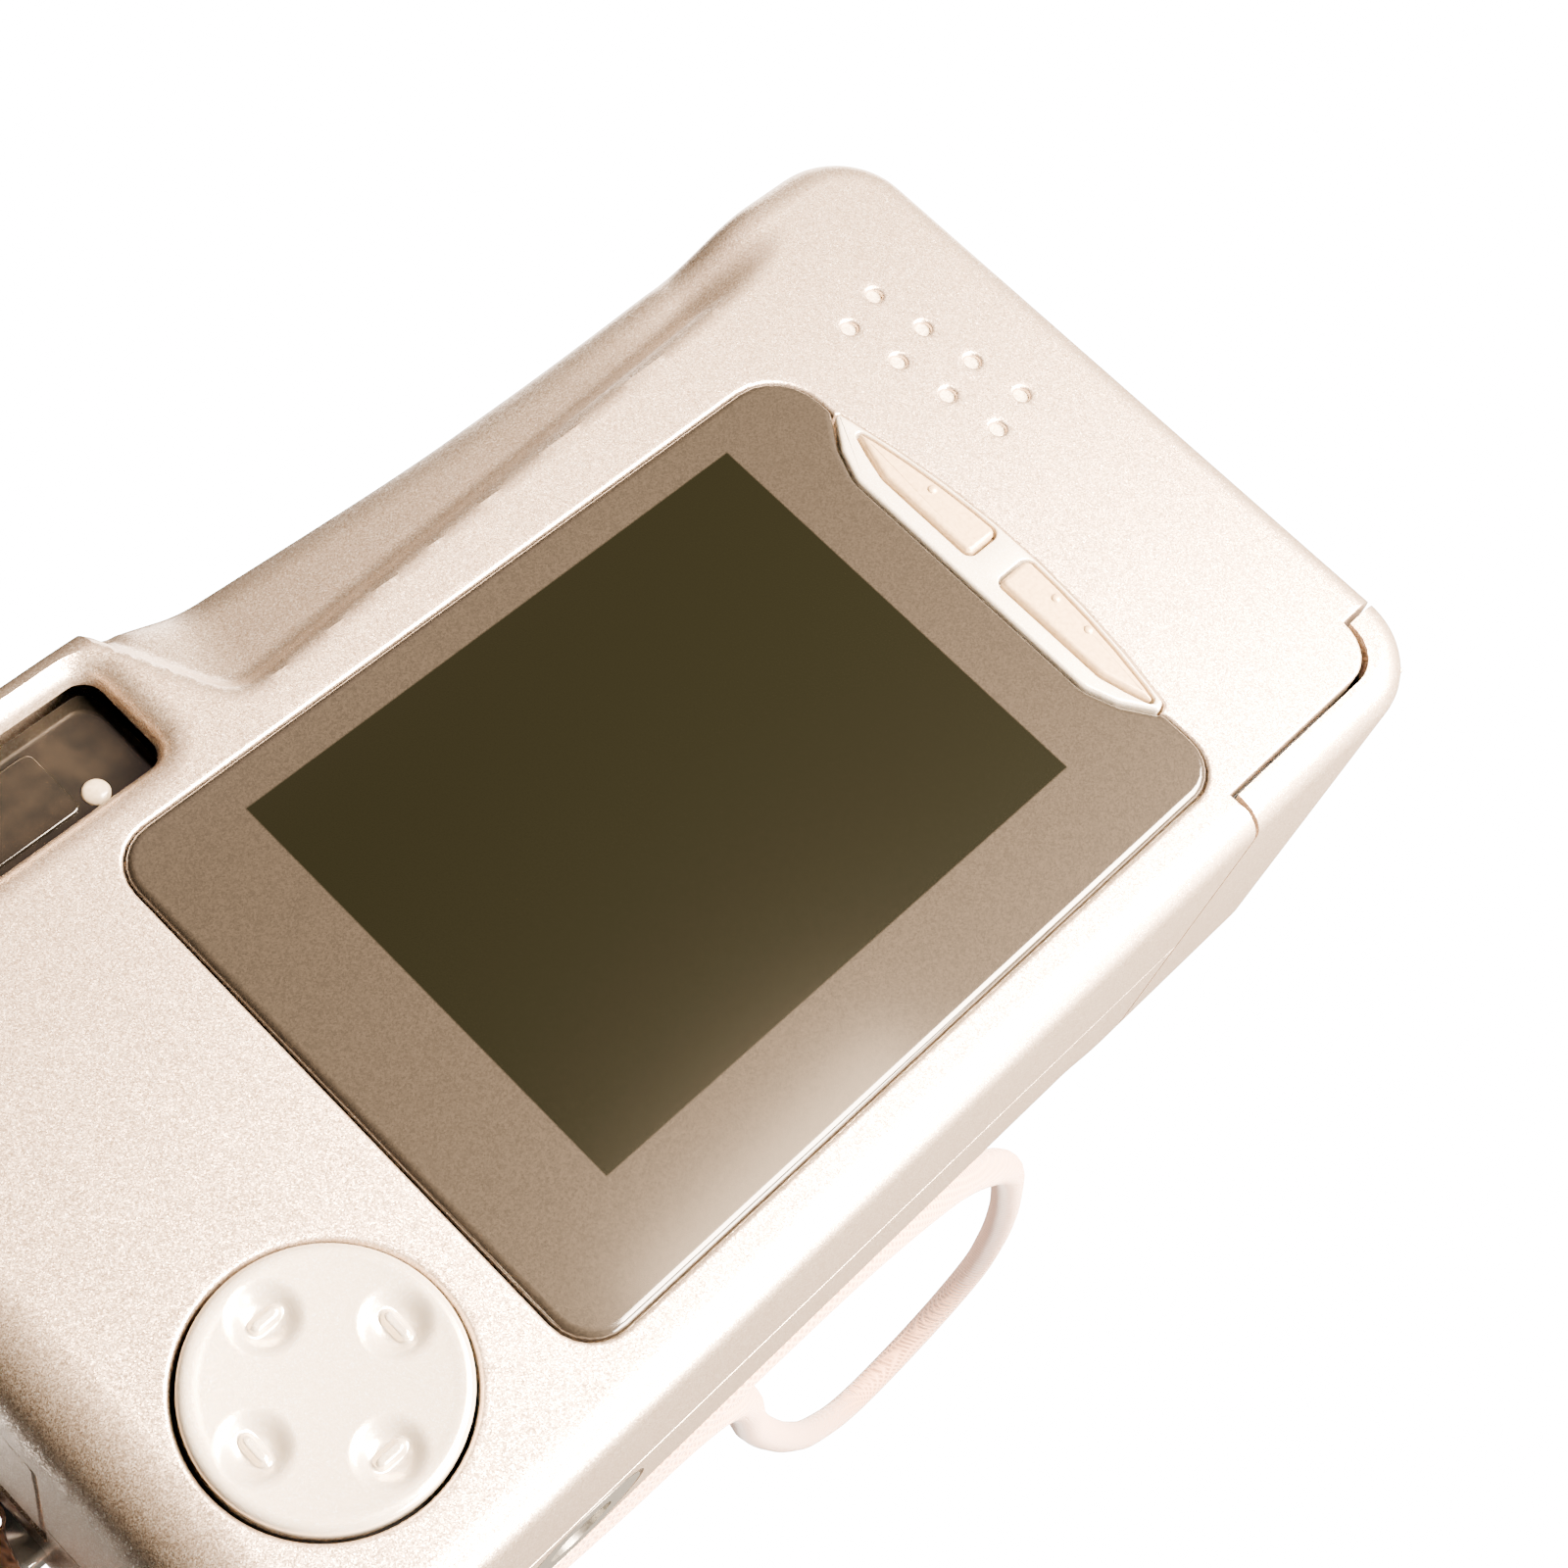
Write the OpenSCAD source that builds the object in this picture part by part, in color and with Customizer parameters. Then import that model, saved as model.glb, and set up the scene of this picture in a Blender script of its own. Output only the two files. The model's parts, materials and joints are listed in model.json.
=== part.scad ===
// Pocket digital camera that records video, standing on its flat base with its back towards -Y.
// The casing stands on z = 0. X runs to the right as seen from the back, Y runs the way the lens looks.

/* [Body] */
// Width of the casing, from its left wall to its right wall
body_w = 100; // [100:0.5:102]
// Height of the casing at its right end
body_h = 56.4; // [56.4:0.2:57.4]
// How much higher the top is over the viewfinder
hump_rise = 1.6; // [1:0.2:2.4]
// Depth of the casing, from its back wall to its front wall
body_d = 33; // [33:0.5:34]
// How far the battery grip stands out in front of the front wall
grip_rise = 2.2; // [2:0.1:2.6]
// Thickness of the casing's side walls
wall = 1.3; // [1.1:0.1:1.3]
// Depth of the thumb shelf along the top of the back, at the casing's height
shelf_d = 4.6; // [3:0.1:4.8]

/* [Back] */
// Width of the display window
window_w = 56.8; // [54:0.2:57]
// Height of the display window
window_h = 40.4; // [38:0.2:40.6]
// Width of the picture that the display shows
picture_w = 40.6; // [36:0.2:41]
// Height of the picture that the display shows
picture_h = 30.45; // [28:0.05:31]
// Radius of the four-way disc
disc_r = 7.9; // [7:0.1:8]
// How far the disc stands out behind the back wall
disc_rise = 0.8; // [0.6:0.1:1]

/* [Lens] */
// Radius of the ring round the lens
lens_ring_r = 17; // [16.5:0.1:17]
// Radius of the clear opening in front of the lens
aperture_r = 6.5; // [6:0.1:6.5]

/* [Battery] */
// Diameter of a cell, size AA
cell_d = 14.1; // [13.8:0.1:14.1]
// Length of a cell with its button
cell_l = 50; // [49.5:0.1:50]

/* [Strap] */
// Diameter of the wrist cord
wrist_d = 3.2; // [2.8:0.1:3.2]
// Diameter of the thin cord through the lug
loop_d = 1.2; // [1:0.1:1.4]

/* [Hidden] */
$fn = 64;

// Gap left round a part that moves
gap = 0.3;
// Length by which a cutting shape runs past the face that it cuts
over = 1;

// The lug stands out on the left, so the casing is moved right by half of that to centre the whole
lug_reach = 3.6;
casing_x = lug_reach / 2;

x_right = body_w / 2;
x_left = -x_right;
y_back = disc_rise - (body_d + grip_rise + disc_rise) / 2;
y_front = y_back + body_d;
y_grip = y_front + grip_rise;
y_split = 1;
z_top = body_h + hump_rise;
back_wall = 2.1;
y_inner = y_back + back_wall;

// Corner radii of the casing seen from the back, from above and from the side
corner_r_right = 6;
corner_r_left = 7;
edge_r_back_left = 4.5;
edge_r_back_right = 2;
edge_r_front = 4;
edge_r_bottom = 2.2;
edge_r_top = 3;

// The top slopes gently from the viewfinder down to the right part
hump_x = -20;
slope_end_x = 12.5;
grip_x = 28.5;
grip_slope = 5.5;

// Thumb shelf: its floor, its left end, and where it starts to run out towards the right
shelf_z = 48.4;
shelf_x0 = -17;
shelf_x1 = 27;
shelf_x2 = 41;

// Display
window_x = 2.65;
window_z = 24.4;
window_r = 3;
window_t = 1.4;
window_rise = 0.3;
y_window = y_back - window_rise;
y_pocket = y_window + window_t;
picture_x = 2.65;
picture_z = 26.4;
panel_margin = 4.4;
panel_t = 1.3;
y_panel = y_pocket + 0.1;
backlight_t = 3.2;

// Keys right of the window: their outer side is one shallow arc
keys_arc_r = 60;
keys_arc_x = -26.8;
keys_z = 23.9;
notch_x = 28.2;
notch_top = 39.6;
notch_bottom = 9.6;
notch_slant = 3.6;
key_x = 29.8;
key_top = 37.2;
key_bottom = 10.8;
key_split = 1;
key_t = 2;
trim_t = 1.2;
y_trim = y_back - 0.35;
y_key = y_back - 0.5;

// Viewfinder
finder_x = -25.7;
finder_z = 51.65;
finder_w = 15;
finder_h = 7.6;
finder_depth = 3.5;
eye_x = finder_x - 2;
lamp_x = finder_x + 3.6;
lamp_z = finder_z - 2.2;
lamp_r = 0.9;

// Sound holes: a grid of two by four, turned a little
sound_x = 40;
sound_z = 38.2;
sound_tilt = 9.8;
sound_r = 0.6;

// Four-way disc
disc_x = -37;
disc_z = 12.7;
disc_gap = 0.35;
dome_ring_r = 5;
y_disc = y_back - disc_rise;

// Lens
lens_x = -16;
lens_z = 27;
y_ring = 14.5;
y_blade = 15;
blade_t = 0.6;
blade_half_r = 7;
blade_pivot_x = 10.5;
blade_pivot_z = 1.5;
chamber_r = 15.4;
housing_r = 16.8;
rod_x = 12;
rod_r = 0.8;

// Flash, lamp and microphone
flash_x = 16.5;
flash_z = 48;
flash_w = 17;
flash_h = 7;
timer_x = 3.6;
mic_x = 12;
mic_z = 40;

// Buttons on the top
shutter_x = 22;
shutter_r = 4.9;
power_x = 6;
power_r = 2.9;
button_fit = 0.1;

// Battery compartment at the right end, over the door
cell_x = 39.1;
cell_front_y = 8.55;
cell_pitch = 14.3;
cell_z = 3.4;
room_x0 = 30.9;
room_x1 = 48.3;
room_y0 = -13.7;
room_y1 = 16.5;
room_z = 2.9;
room_wall = 0.8;

// Battery door: its hinge axis runs front to back at its left end
door_x = 31.7;
door_z = 1.3;
door_knuckle_r = 1.3;
door_t = 2.5;
door_side_z = 5.8;
door_pin_r = 0.5;
running_fit = 0.06;
ear_y = [-12.6, 14.8];
ear_t = 1.2;
latch_w = 5;
latch_l = 8;
latch_travel = 2;
latch_x = 44;

// Terminal cover on the left wall, hinged at its front edge
cover_y0 = -10.5;
cover_z0 = 21;
cover_z1 = 49;
cover_t = 1.1;
cover_pin_y = 3.4;
cover_pin_x = x_left + 1.1;
cover_knuckle_r = 1;
cover_pocket_d = 2.4;

// Strap lug
lug_y = 9.4;
lug_z = 25;
lug_t = 2.4;

// Tripod socket
tripod_x = -26;
tripod_y = 7.5;
tripod_hole_r = 2.55;
tripod_depth = 5.5;

// Route of the thin cord from the ferrule, up through the lug and back to the ferrule
loop_route = [
    [-38, 21.8, 2.1], [-41, 21.8, 1.4], [-45.5, 21, 1.1], [-49.5, 19.2, 3], [-51.6, 17, 8],
    [-52.2, 15, 15], [-52, 13.2, 21.2], [-51.6, 11.7, 24.2], [-51.5, 9.4, 25.3], [-51.6, 7.1, 24.2],
    [-52.5, 6.5, 20.4], [-53.4, 6.8, 14], [-54, 9, 7.4], [-54, 13, 2.6], [-52.2, 17.4, 0.9],
    [-48, 21.4, 0.8], [-43, 23.3, 1.2], [-38, 23.3, 2.1]
];
// Route of the wrist cord, a long flat loop that lies in front of the camera
wrist_route = [
    [-29, 24.3, 2.2], [-24, 24.6, 1.9], [-18, 25.1, 1.7], [-11, 27.2, 1.7], [-5, 33.5, 1.7], [0, 46, 1.7],
    [6, 66, 1.7], [15, 92, 1.7], [26, 121, 1.7], [37, 146, 1.7], [49, 163, 1.7], [60, 160, 1.7],
    [65, 146, 1.7], [62, 128, 1.7], [56, 108, 1.7], [48, 86, 1.7], [39, 64, 1.7], [29, 46, 1.7],
    [19, 32.5, 1.7], [6, 23.6, 1.7], [-9, 21.0, 1.7], [-20, 20.7, 1.8], [-25, 20.6, 1.9], [-29, 20.7, 2.2]
];
ferrule_x0 = -38;
ferrule_x1 = -29;
ferrule_y = 22.5;

// ---------- helpers ----------

// Moves a shape from the casing's own centre line to the centre line of the whole
module at_casing() { translate([casing_x, 0, 0]) children(); }

// Drawings in X and Z, X and Y, or Y and Z, carried along the third axis
module along_y(y0, y1) { translate([0, y1, 0]) rotate([90, 0, 0]) linear_extrude(y1 - y0) children(); }
module along_z(z0, z1) { translate([0, 0, z0]) linear_extrude(z1 - z0) children(); }
module along_x(x0, x1) { translate([x0, 0, 0]) rotate([90, 0, 90]) linear_extrude(x1 - x0) children(); }

// A round bar along Y, with its axis at x and z
module bar_y(x, z, r, y0, y1) { translate([x, y1, z]) rotate([90, 0, 0]) cylinder(h = y1 - y0, r = r); }
module bar_z(x, y, r, z0, z1) { translate([x, y, z0]) cylinder(h = z1 - z0, r = r); }
module bar_x(y, z, r, x0, x1) { translate([x0, y, z]) rotate([0, 90, 0]) cylinder(h = x1 - x0, r = r); }

// A box given by its two corners
module block(a, b) { translate(a) cube(b - a); }

// What a round corner takes off a square one
module corner_waste(x, y, sx, sy, r) {
    if (r > 0)
        difference() {
            translate([x + min(0, sx * r) - (sx > 0 ? 0.01 : 0), y + min(0, sy * r) - (sy > 0 ? 0.01 : 0)])
                square(r + 0.01);
            translate([x + sx * r, y + sy * r]) circle(r);
        }
}

// A rectangle with a radius at each corner: lower left, lower right, upper right, upper left
module soft_rect(x0, y0, x1, y1, r) {
    difference() {
        translate([x0, y0]) square([x1 - x0, y1 - y0]);
        corner_waste(x0, y0, 1, 1, r[0]);
        corner_waste(x1, y0, -1, 1, r[1]);
        corner_waste(x1, y1, -1, -1, r[2]);
        corner_waste(x0, y1, 1, -1, r[3]);
    }
}

// A rounded rectangle round its centre
module pad(x, y, w, h, r) { soft_rect(x - w / 2, y - h / 2, x + w / 2, y + h / 2, [r, r, r, r]); }

// A lens blank turned round the Y axis: two spherical faces between y0 and y1
module lens_blank(x, z, r, y0, y1, front_bulge, back_bulge) {
    translate([x, 0, z])
        rotate([-90, 0, 0])
            rotate_extrude()
                intersection() {
                    translate([0, y0]) square([r, y1 - y0]);
                    translate([0, y1 - front_bulge]) circle(front_bulge, $fn = 128);
                    translate([0, y0 + back_bulge]) circle(back_bulge, $fn = 128);
                }
}

// ---------- the casing's form ----------

// The casing seen from the back, drawn t inside its surface
module back_view(t) {
    soft_rect(x_left + t, t, x_right - t, body_h - t,
        [corner_r_left - t, corner_r_right - t, corner_r_right - t, corner_r_left - t]);
    soft_rect(x_left + t, z_top / 2, hump_x, z_top - t, [0, 0, 0, corner_r_left - t]);
    polygon([[hump_x - 1, z_top / 2], [hump_x - 1, z_top - t], [hump_x, z_top - t],
        [slope_end_x, body_h - t], [slope_end_x, z_top / 2]]);
}

// One block of the casing between two walls left and right and the back and front
module casing_block(x0, x1, y1, t) {
    intersection() {
        along_y(y_back + t, y1 - t) back_view(t);
        along_z(t - over, z_top + over)
            soft_rect(x0, y_back + t, x1, y1 - t,
                [edge_r_back_left - t, edge_r_back_right - t, edge_r_front - t, edge_r_front - t]);
        along_x(-body_w, body_w)
            soft_rect(y_back + t, t, y1 - t, z_top - t,
                [edge_r_bottom - t, edge_r_top - t, edge_r_front - t, edge_r_top - t]);
    }
}

// The whole casing with its grip, drawn t inside its surface
module casing_form(t) {
    casing_block(x_left + t, x_right - t, y_front, t);
    intersection() {
        casing_block(x_left + t, x_right - t, y_grip, t);
        along_z(-over, z_top + over)
            polygon([[grip_x - grip_slope, y_split], [grip_x - grip_slope, y_front - t],
                [grip_x, y_grip - t], [x_right + over, y_grip - t], [x_right + over, y_split]]);
    }
}

// The sloping shelf along the top of the back, grown by g
module shelf_cut(g) {
    slope = shelf_d / (body_h - shelf_z);
    shift = g * sqrt(1 + slope * slope);
    intersection() {
        along_x(-body_w, body_w)
            polygon([[y_back - over, shelf_z - (over + shift) / slope], [y_back - over, z_top + over],
                [y_back + slope * (z_top + over - shelf_z) + shift, z_top + over]]);
        along_z(shelf_z / 2, z_top + over)
            polygon([[shelf_x0 - g, y_back - over], [shelf_x0 - g, y_back + shelf_d + 2 + g],
                [shelf_x1, y_back + shelf_d + 2 + g], [shelf_x2 + 3 * g, y_back],
                [shelf_x2 + 3 * g, y_back - over]]);
    }
}

// The room inside the covers
module casing_room() {
    difference() {
        intersection() {
            casing_form(wall);
            block([x_left, y_inner, 0], [x_right, y_grip, z_top]);
        }
        shelf_cut(wall);
        along_y(y_back, y_back + finder_depth + 0.7)
            pad(finder_x, finder_z, finder_w + 2 * wall, finder_h + 4 * wall, 1);
        block([x_left, cover_y0 - gap - wall, cover_z0 - gap - wall],
            [x_left + cover_pocket_d + wall, cover_pin_y + 2 * wall, cover_z1 + gap + wall]);
    }
}

// The outline of the battery door seen from the back, grown by g
module door_outline(g) {
    translate([door_x, door_z]) circle(door_knuckle_r + g);
    translate([door_x, -over]) square([body_w, door_t + over + g]);
    translate([x_right - wall - g, -over]) square([body_w, door_side_z + over + g]);
}

// ---------- the openings in the covers ----------

// The notch in the window's right side, where the two keys sit
module notch_outline(g) {
    polygon([[notch_x + g, notch_bottom + notch_slant], [notch_x + g, notch_top - notch_slant],
        [notch_x + notch_slant + g, notch_top], [body_w, notch_top], [body_w, notch_bottom],
        [notch_x + notch_slant + g, notch_bottom]]);
}

// The window's outline
module window_outline(g) {
    difference() {
        pad(window_x, window_z, window_w + 2 * g, window_h + 2 * g, window_r + g);
        notch_outline(-g);
    }
}

// The outline of the trim round the two keys
module trim_outline(g) {
    intersection() {
        translate([keys_arc_x, keys_z]) circle(keys_arc_r + g, $fn = 200);
        notch_outline(0.2 - g);
    }
}

// The outline of one key between the heights z0 and z1, with its slanted end at slant_z
module key_outline(z0, z1, slant_z, g) {
    intersection() {
        translate([keys_arc_x, keys_z]) circle(keys_arc_r - 0.6 + g, $fn = 200);
        polygon([[key_x - g, max(z0, slant_z == z0 ? z0 + 2.4 : z0) - g],
            [key_x - g, min(z1, slant_z == z1 ? z1 - 2.4 : z1) + g],
            [key_x + (slant_z == z1 ? 1.4 : 0), z1 + g], [body_w, z1 + g], [body_w, z0 - g],
            [key_x + (slant_z == z0 ? 1.4 : 0), z0 - g]]);
    }
}
module mode_outline(g) { key_outline(keys_z + 0.7 + key_split, key_top, key_top, g); }
module set_outline(g) { key_outline(key_bottom, keys_z + 0.7 - key_split, key_bottom, g); }

// The eight sound holes
module sound_holes() {
    translate([sound_x, 0, sound_z])
        rotate([0, -sound_tilt, 0])
            for (i = [0, 1], j = [0:3])
                translate([(i - 0.5) * 3.55, 0, (j - 1.5) * 4.1])
                    bar_y(0, 0, sound_r, y_back - over, y_inner + over);
}

// The holes in the top wall for the buttons
module top_holes() {
    bar_z(shutter_x, 0, shutter_r + 1.7, body_h - 2 * wall, z_top + over);
    bar_z(power_x, 0, power_r + button_fit, body_h - 2 * wall, z_top + over);
}

// The pocket in the left wall for the terminal cover, with the mouths of the card slot and the jacks
module terminal_pocket() {
    block([x_left - over, cover_y0 - gap, cover_z0 - gap],
        [x_left + cover_pocket_d, cover_pin_y + cover_t + gap, cover_z1 + gap]);
    block([x_left, -8.1, 22.6], [x_left + 6, -5.7, 46.4]);
    block([x_left, -4.3, 23.6], [x_left + 6, 0, 31.4]);
    bar_x(-1.4, 37, 2.6, x_left, x_left + 6);
    bar_x(-1.4, 44.4, 2.2, x_left, x_left + 6);
}

// Holes for the screws: two in the base and two in the left wall
module screw_places() {
    translate([-42, 11, 0]) children();
    translate([18, 11, 0]) children();
    translate([x_left, 9.8, 44]) rotate([0, 90, 0]) children();
    translate([x_left, 9.8, 9]) rotate([0, 90, 0]) children();
}

// ---------- covers ----------

module cover_form() {
    difference() {
        casing_form(0);
        shelf_cut(0);
        casing_room();
        along_y(y_back - over, y_grip + over) door_outline(gap);
        block([door_x - door_knuckle_r - gap, y_back - over, -over], [door_x, y_grip + over, door_z]);
        block([room_x0 - 0.2, room_y0 - 0.2, door_t], [room_x1 + 0.1, room_y1 + 0.1, room_z + 3]);
        top_holes();
        terminal_pocket();
        screw_places() bar_z(0, 0, 1.7, -over, wall + over);
    }
}

module back_cover() {
    color("silver") at_casing()
        difference() {
            intersection() {
                cover_form();
                block([-body_w, y_back - over, -over], [body_w, y_split, z_top + over]);
            }
            along_y(y_back - over, y_pocket) window_outline(0.05);
            along_y(y_pocket - over, y_inner + over)
                pad(picture_x, picture_z, picture_w + panel_margin + 0.4, picture_h + panel_margin + 0.4, 1);
            along_y(y_back - over, y_trim + trim_t) trim_outline(0.05);
            along_y(y_back, y_inner + over) mode_outline(0.2);
            along_y(y_back, y_inner + over) set_outline(0.2);
            along_y(y_back - over, y_back + finder_depth + over)
                pad(finder_x, finder_z, finder_w, finder_h, 1.4);
            bar_y(disc_x, disc_z, disc_r + disc_gap, y_back - over, y_inner + over);
            sound_holes();
        }
}

module front_cover() {
    color("silver") at_casing()
        difference() {
            intersection() {
                cover_form();
                block([-body_w, y_split, -over], [body_w, y_grip + over, z_top + over]);
            }
            bar_y(lens_x, lens_z, lens_ring_r, y_split, y_grip + over);
            along_y(y_front - 2 * wall, y_front + over) pad(flash_x, flash_z, flash_w, flash_h, 1.5);
            along_y(y_front - 2 * wall, y_front + over) pad(finder_x, finder_z, 12, 7.2, 1.2);
            bar_y(timer_x, flash_z, 1.5, y_front - 2 * wall, y_front + over);
            bar_y(mic_x, mic_z, 0.6, y_front - 2 * wall, y_front + over);
            bar_z(tripod_x, tripod_y, 5, -over, wall + over);
            block([x_left - over, lug_y - lug_t / 2, lug_z - 4],
                [x_left + 2 * wall, lug_y + lug_t / 2, lug_z + 4]);
        }
}

// ---------- display and keys ----------

module display_window() {
    color("tan") at_casing()
        along_y(y_window, y_pocket) window_outline(0);
}

module display_panel() {
    color("black") at_casing()
        along_y(y_panel, y_panel + panel_t)
            pad(picture_x, picture_z, picture_w + panel_margin, picture_h + panel_margin, 0.8);
}

module display_backlight() {
    color("whitesmoke") at_casing()
        along_y(y_panel + panel_t + 0.1, y_panel + panel_t + 0.1 + backlight_t)
            pad(picture_x, picture_z, picture_w + 7, picture_h + 3.6, 1);
}

module key_trim() {
    color("gainsboro") at_casing()
        along_y(y_trim, y_trim + trim_t)
            difference() {
                trim_outline(0);
                mode_outline(0.2);
                set_outline(0.2);
            }
}

module mode_key() {
    color("wheat") at_casing() {
        along_y(y_key, y_key + key_t) mode_outline(0);
        bar_y(31.3, 31, 0.6, y_key + key_t - 0.2, y_inner - 0.2);
    }
}

module set_key() {
    color("wheat") at_casing() {
        along_y(y_key, y_key + key_t) set_outline(0);
        bar_y(31.3, 17, 0.6, y_key + key_t - 0.2, y_inner - 0.2);
    }
}

module key_board() {
    color("green") at_casing() {
        along_y(-12.6, -11.6) soft_rect(-46, 3, -28.6, 21.6, [2, 1, 1, 1]);
        along_y(y_inner + 0.75, y_inner + 1.15) soft_rect(27.2, 13, 33.2, 35, [1, 1, 1, 1]);
    }
}

module key_domes() {
    color("silver") at_casing() {
        for (a = [0:90:270])
            bar_y(disc_x + dome_ring_r * cos(a), disc_z + dome_ring_r * sin(a), 2, -13.1, -12.6);
        for (z = [17, 31])
            bar_y(31.6, z, 1.2, y_inner + 0.35, y_inner + 0.75);
    }
}

module disc_pivot() {
    color("dimgray") at_casing()
        bar_y(disc_x, disc_z, 1.2, -16, -12.9);
}

module control_disc() {
    color("lightgray") at_casing()
        difference() {
            union() {
                bar_y(disc_x, disc_z, disc_r, y_disc, y_disc + 1.5);
                bar_y(disc_x, disc_z, disc_r - 0.8, y_disc + 1.4, y_disc + 2);
                for (a = [0:90:270])
                    bar_y(disc_x + dome_ring_r * cos(a), disc_z + dome_ring_r * sin(a), 0.8,
                        y_disc + 1.9, -13.7);
            }
            translate([disc_x, y_disc - 59.5, disc_z]) sphere(r = 60, $fn = 200);
            bar_y(disc_x, disc_z, 1.6, y_disc + 1.6, y_disc + 3);
            for (a = [0:90:270])
                translate([disc_x + dome_ring_r * cos(a), y_disc - 1, disc_z + dome_ring_r * sin(a)])
                    sphere(r = 2);
        }
}

// ---------- viewfinder ----------

module eyepiece_plate() {
    color("black") at_casing()
        along_y(y_back + finder_depth, y_back + finder_depth + 1.2)
            difference() {
                pad(finder_x, finder_z, finder_w, finder_h, 1.4);
                pad(eye_x, finder_z, 8, 5, 0.6);
                translate([lamp_x, lamp_z]) circle(lamp_r);
            }
}

module eye_lens() {
    color("lightblue") at_casing()
        along_y(y_back + finder_depth + 0.1, y_back + finder_depth + 1.2) pad(eye_x, finder_z, 8, 5, 0.6);
}

module indicator_lamp() {
    color("ivory") at_casing() {
        bar_y(lamp_x, lamp_z, lamp_r, y_back + finder_depth - 0.2, y_back + finder_depth + 1.2);
    }
}

module finder_tube() {
    color("black") at_casing()
        along_y(y_back + finder_depth + 1.25, y_front - wall - 0.1)
            difference() {
                pad(finder_x, finder_z, 13.4, 7.4, 1);
                pad(finder_x, finder_z, 11.8, 5.8, 0.5);
            }
}

module finder_front_window() {
    color("lightblue") at_casing()
        along_y(y_front - wall, y_front - 0.1) pad(finder_x, finder_z, 12, 7.2, 1.2);
}

// ---------- flash, lamp, microphone and speaker ----------

module flash_window() {
    color("white") at_casing()
        along_y(y_front - wall, y_front) pad(flash_x, flash_z, flash_w, flash_h, 1.5);
}

module flash_reflector() {
    color("silver") at_casing()
        along_x(flash_x - flash_w / 2, flash_x + flash_w / 2)
            difference() {
                polygon([[y_front - wall - 0.1, flash_z - 3.4], [y_front - wall - 0.1, flash_z + 3.4],
                    [9.2, flash_z + 2], [9.2, flash_z - 2]]);
                polygon([[y_front - wall + 0.1, flash_z - 2.8], [y_front - wall + 0.1, flash_z + 2.8],
                    [9.8, flash_z + 1.5], [9.8, flash_z - 1.5]]);
            }
}

module flash_tube() {
    color("white") at_casing()
        bar_x(11.2, flash_z, 1.1, flash_x - 8, flash_x + 8);
}

module flash_capacitor() {
    color("darkslategray") at_casing()
        bar_z(22, 6, 6, 8, 38);
}

module self_timer_lamp() {
    color("orangered") at_casing()
        bar_y(timer_x, flash_z, 1.5, 12.6, y_front + 0.1);
}

module microphone() {
    color("dimgray") at_casing()
        bar_y(mic_x, mic_z, 2, 12.2, y_front - wall - 0.1);
}

module speaker() {
    color("dimgray") at_casing()
        bar_y(sound_x, sound_z, 7.2, y_inner + 0.1, y_inner + 1.2);
}

// ---------- lens ----------

module lens_ring() {
    color("silver") at_casing()
        translate([lens_x, 0, lens_z])
            rotate([-90, 0, 0])
                rotate_extrude()
                    polygon([[aperture_r, y_ring + 1.8], [chamber_r, y_ring + 1.8], [chamber_r, y_ring],
                        [lens_ring_r, y_ring], [lens_ring_r, y_grip - 0.8], [lens_ring_r - 0.8, y_grip],
                        [aperture_r + 3.4, y_grip], [aperture_r, y_ring + 2.4]]);
}

module lens_housing() {
    color("black") at_casing() {
        difference() {
            bar_y(lens_x, lens_z, housing_r, -5, y_ring - 0.1);
            bar_y(lens_x, lens_z, housing_r - 1.8, -6, 13.2);
            bar_y(lens_x, lens_z, aperture_r, 13, y_ring + over);
        }
        for (s = [-1, 1])
            bar_y(lens_x + s * blade_pivot_x, lens_z - s * blade_pivot_z, 0.6, y_ring - 0.2, y_ring + 1.6);
    }
}

module barrier_blade(s) {
    difference() {
        union() {
            intersection() {
                bar_y(0, 0, blade_half_r, y_blade, y_blade + blade_t);
                block([-blade_half_r, y_blade, s > 0 ? 0.15 : -blade_half_r],
                    [blade_half_r, y_blade + blade_t, s > 0 ? blade_half_r : -0.15]);
            }
            bar_y(-s * blade_pivot_x, s * blade_pivot_z, 2, y_blade, y_blade + blade_t);
            block([s > 0 ? -blade_pivot_x : 5, y_blade, s > 0 ? 0.15 : -3.4],
                [s > 0 ? -5 : blade_pivot_x, y_blade + blade_t, s > 0 ? 3.4 : -0.15]);
        }
        bar_y(-s * blade_pivot_x, s * blade_pivot_z, 0.65, y_blade - over, y_blade + over);
    }
}

module barrier_blade_upper() {
    color("dimgray") at_casing()
        translate([lens_x, 0, lens_z]) barrier_blade(1);
}

module barrier_blade_lower() {
    color("dimgray") at_casing()
        translate([lens_x, 0, lens_z]) barrier_blade(-1);
}

module front_lens_cell() {
    color("black") at_casing()
        difference() {
            bar_y(lens_x, lens_z, 9, 9.5, 13.2);
            bar_y(lens_x, lens_z, 6, 8, 14);
        }
}

module front_lens() {
    color("lightblue") at_casing() lens_blank(lens_x, lens_z, 6, 9.8, 13, 14, 40);
}

module guide_rods() {
    color("silver") at_casing()
        for (s = [-1, 1]) bar_y(lens_x + s * rod_x, lens_z, rod_r, -3.8, 13.2);
}

module focus_cell() {
    color("black") at_casing()
        difference() {
            union() {
                bar_y(lens_x, lens_z, 7, 1.5, 5.5);
                along_y(2.5, 4.5) pad(lens_x, lens_z, 2 * rod_x + 4, 4, 1.5);
            }
            bar_y(lens_x, lens_z, 5, 0, 7);
            for (s = [-1, 1]) bar_y(lens_x + s * rod_x, lens_z, rod_r + 0.05, 0, 7);
        }
}

module focus_lens() {
    color("lightblue") at_casing() lens_blank(lens_x, lens_z, 5, 1.8, 5.2, 16, 16);
}

module focus_motor() {
    color("silver") at_casing() bar_y(lens_x, lens_z - 12, 2.4, -3.6, 6);
}

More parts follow.
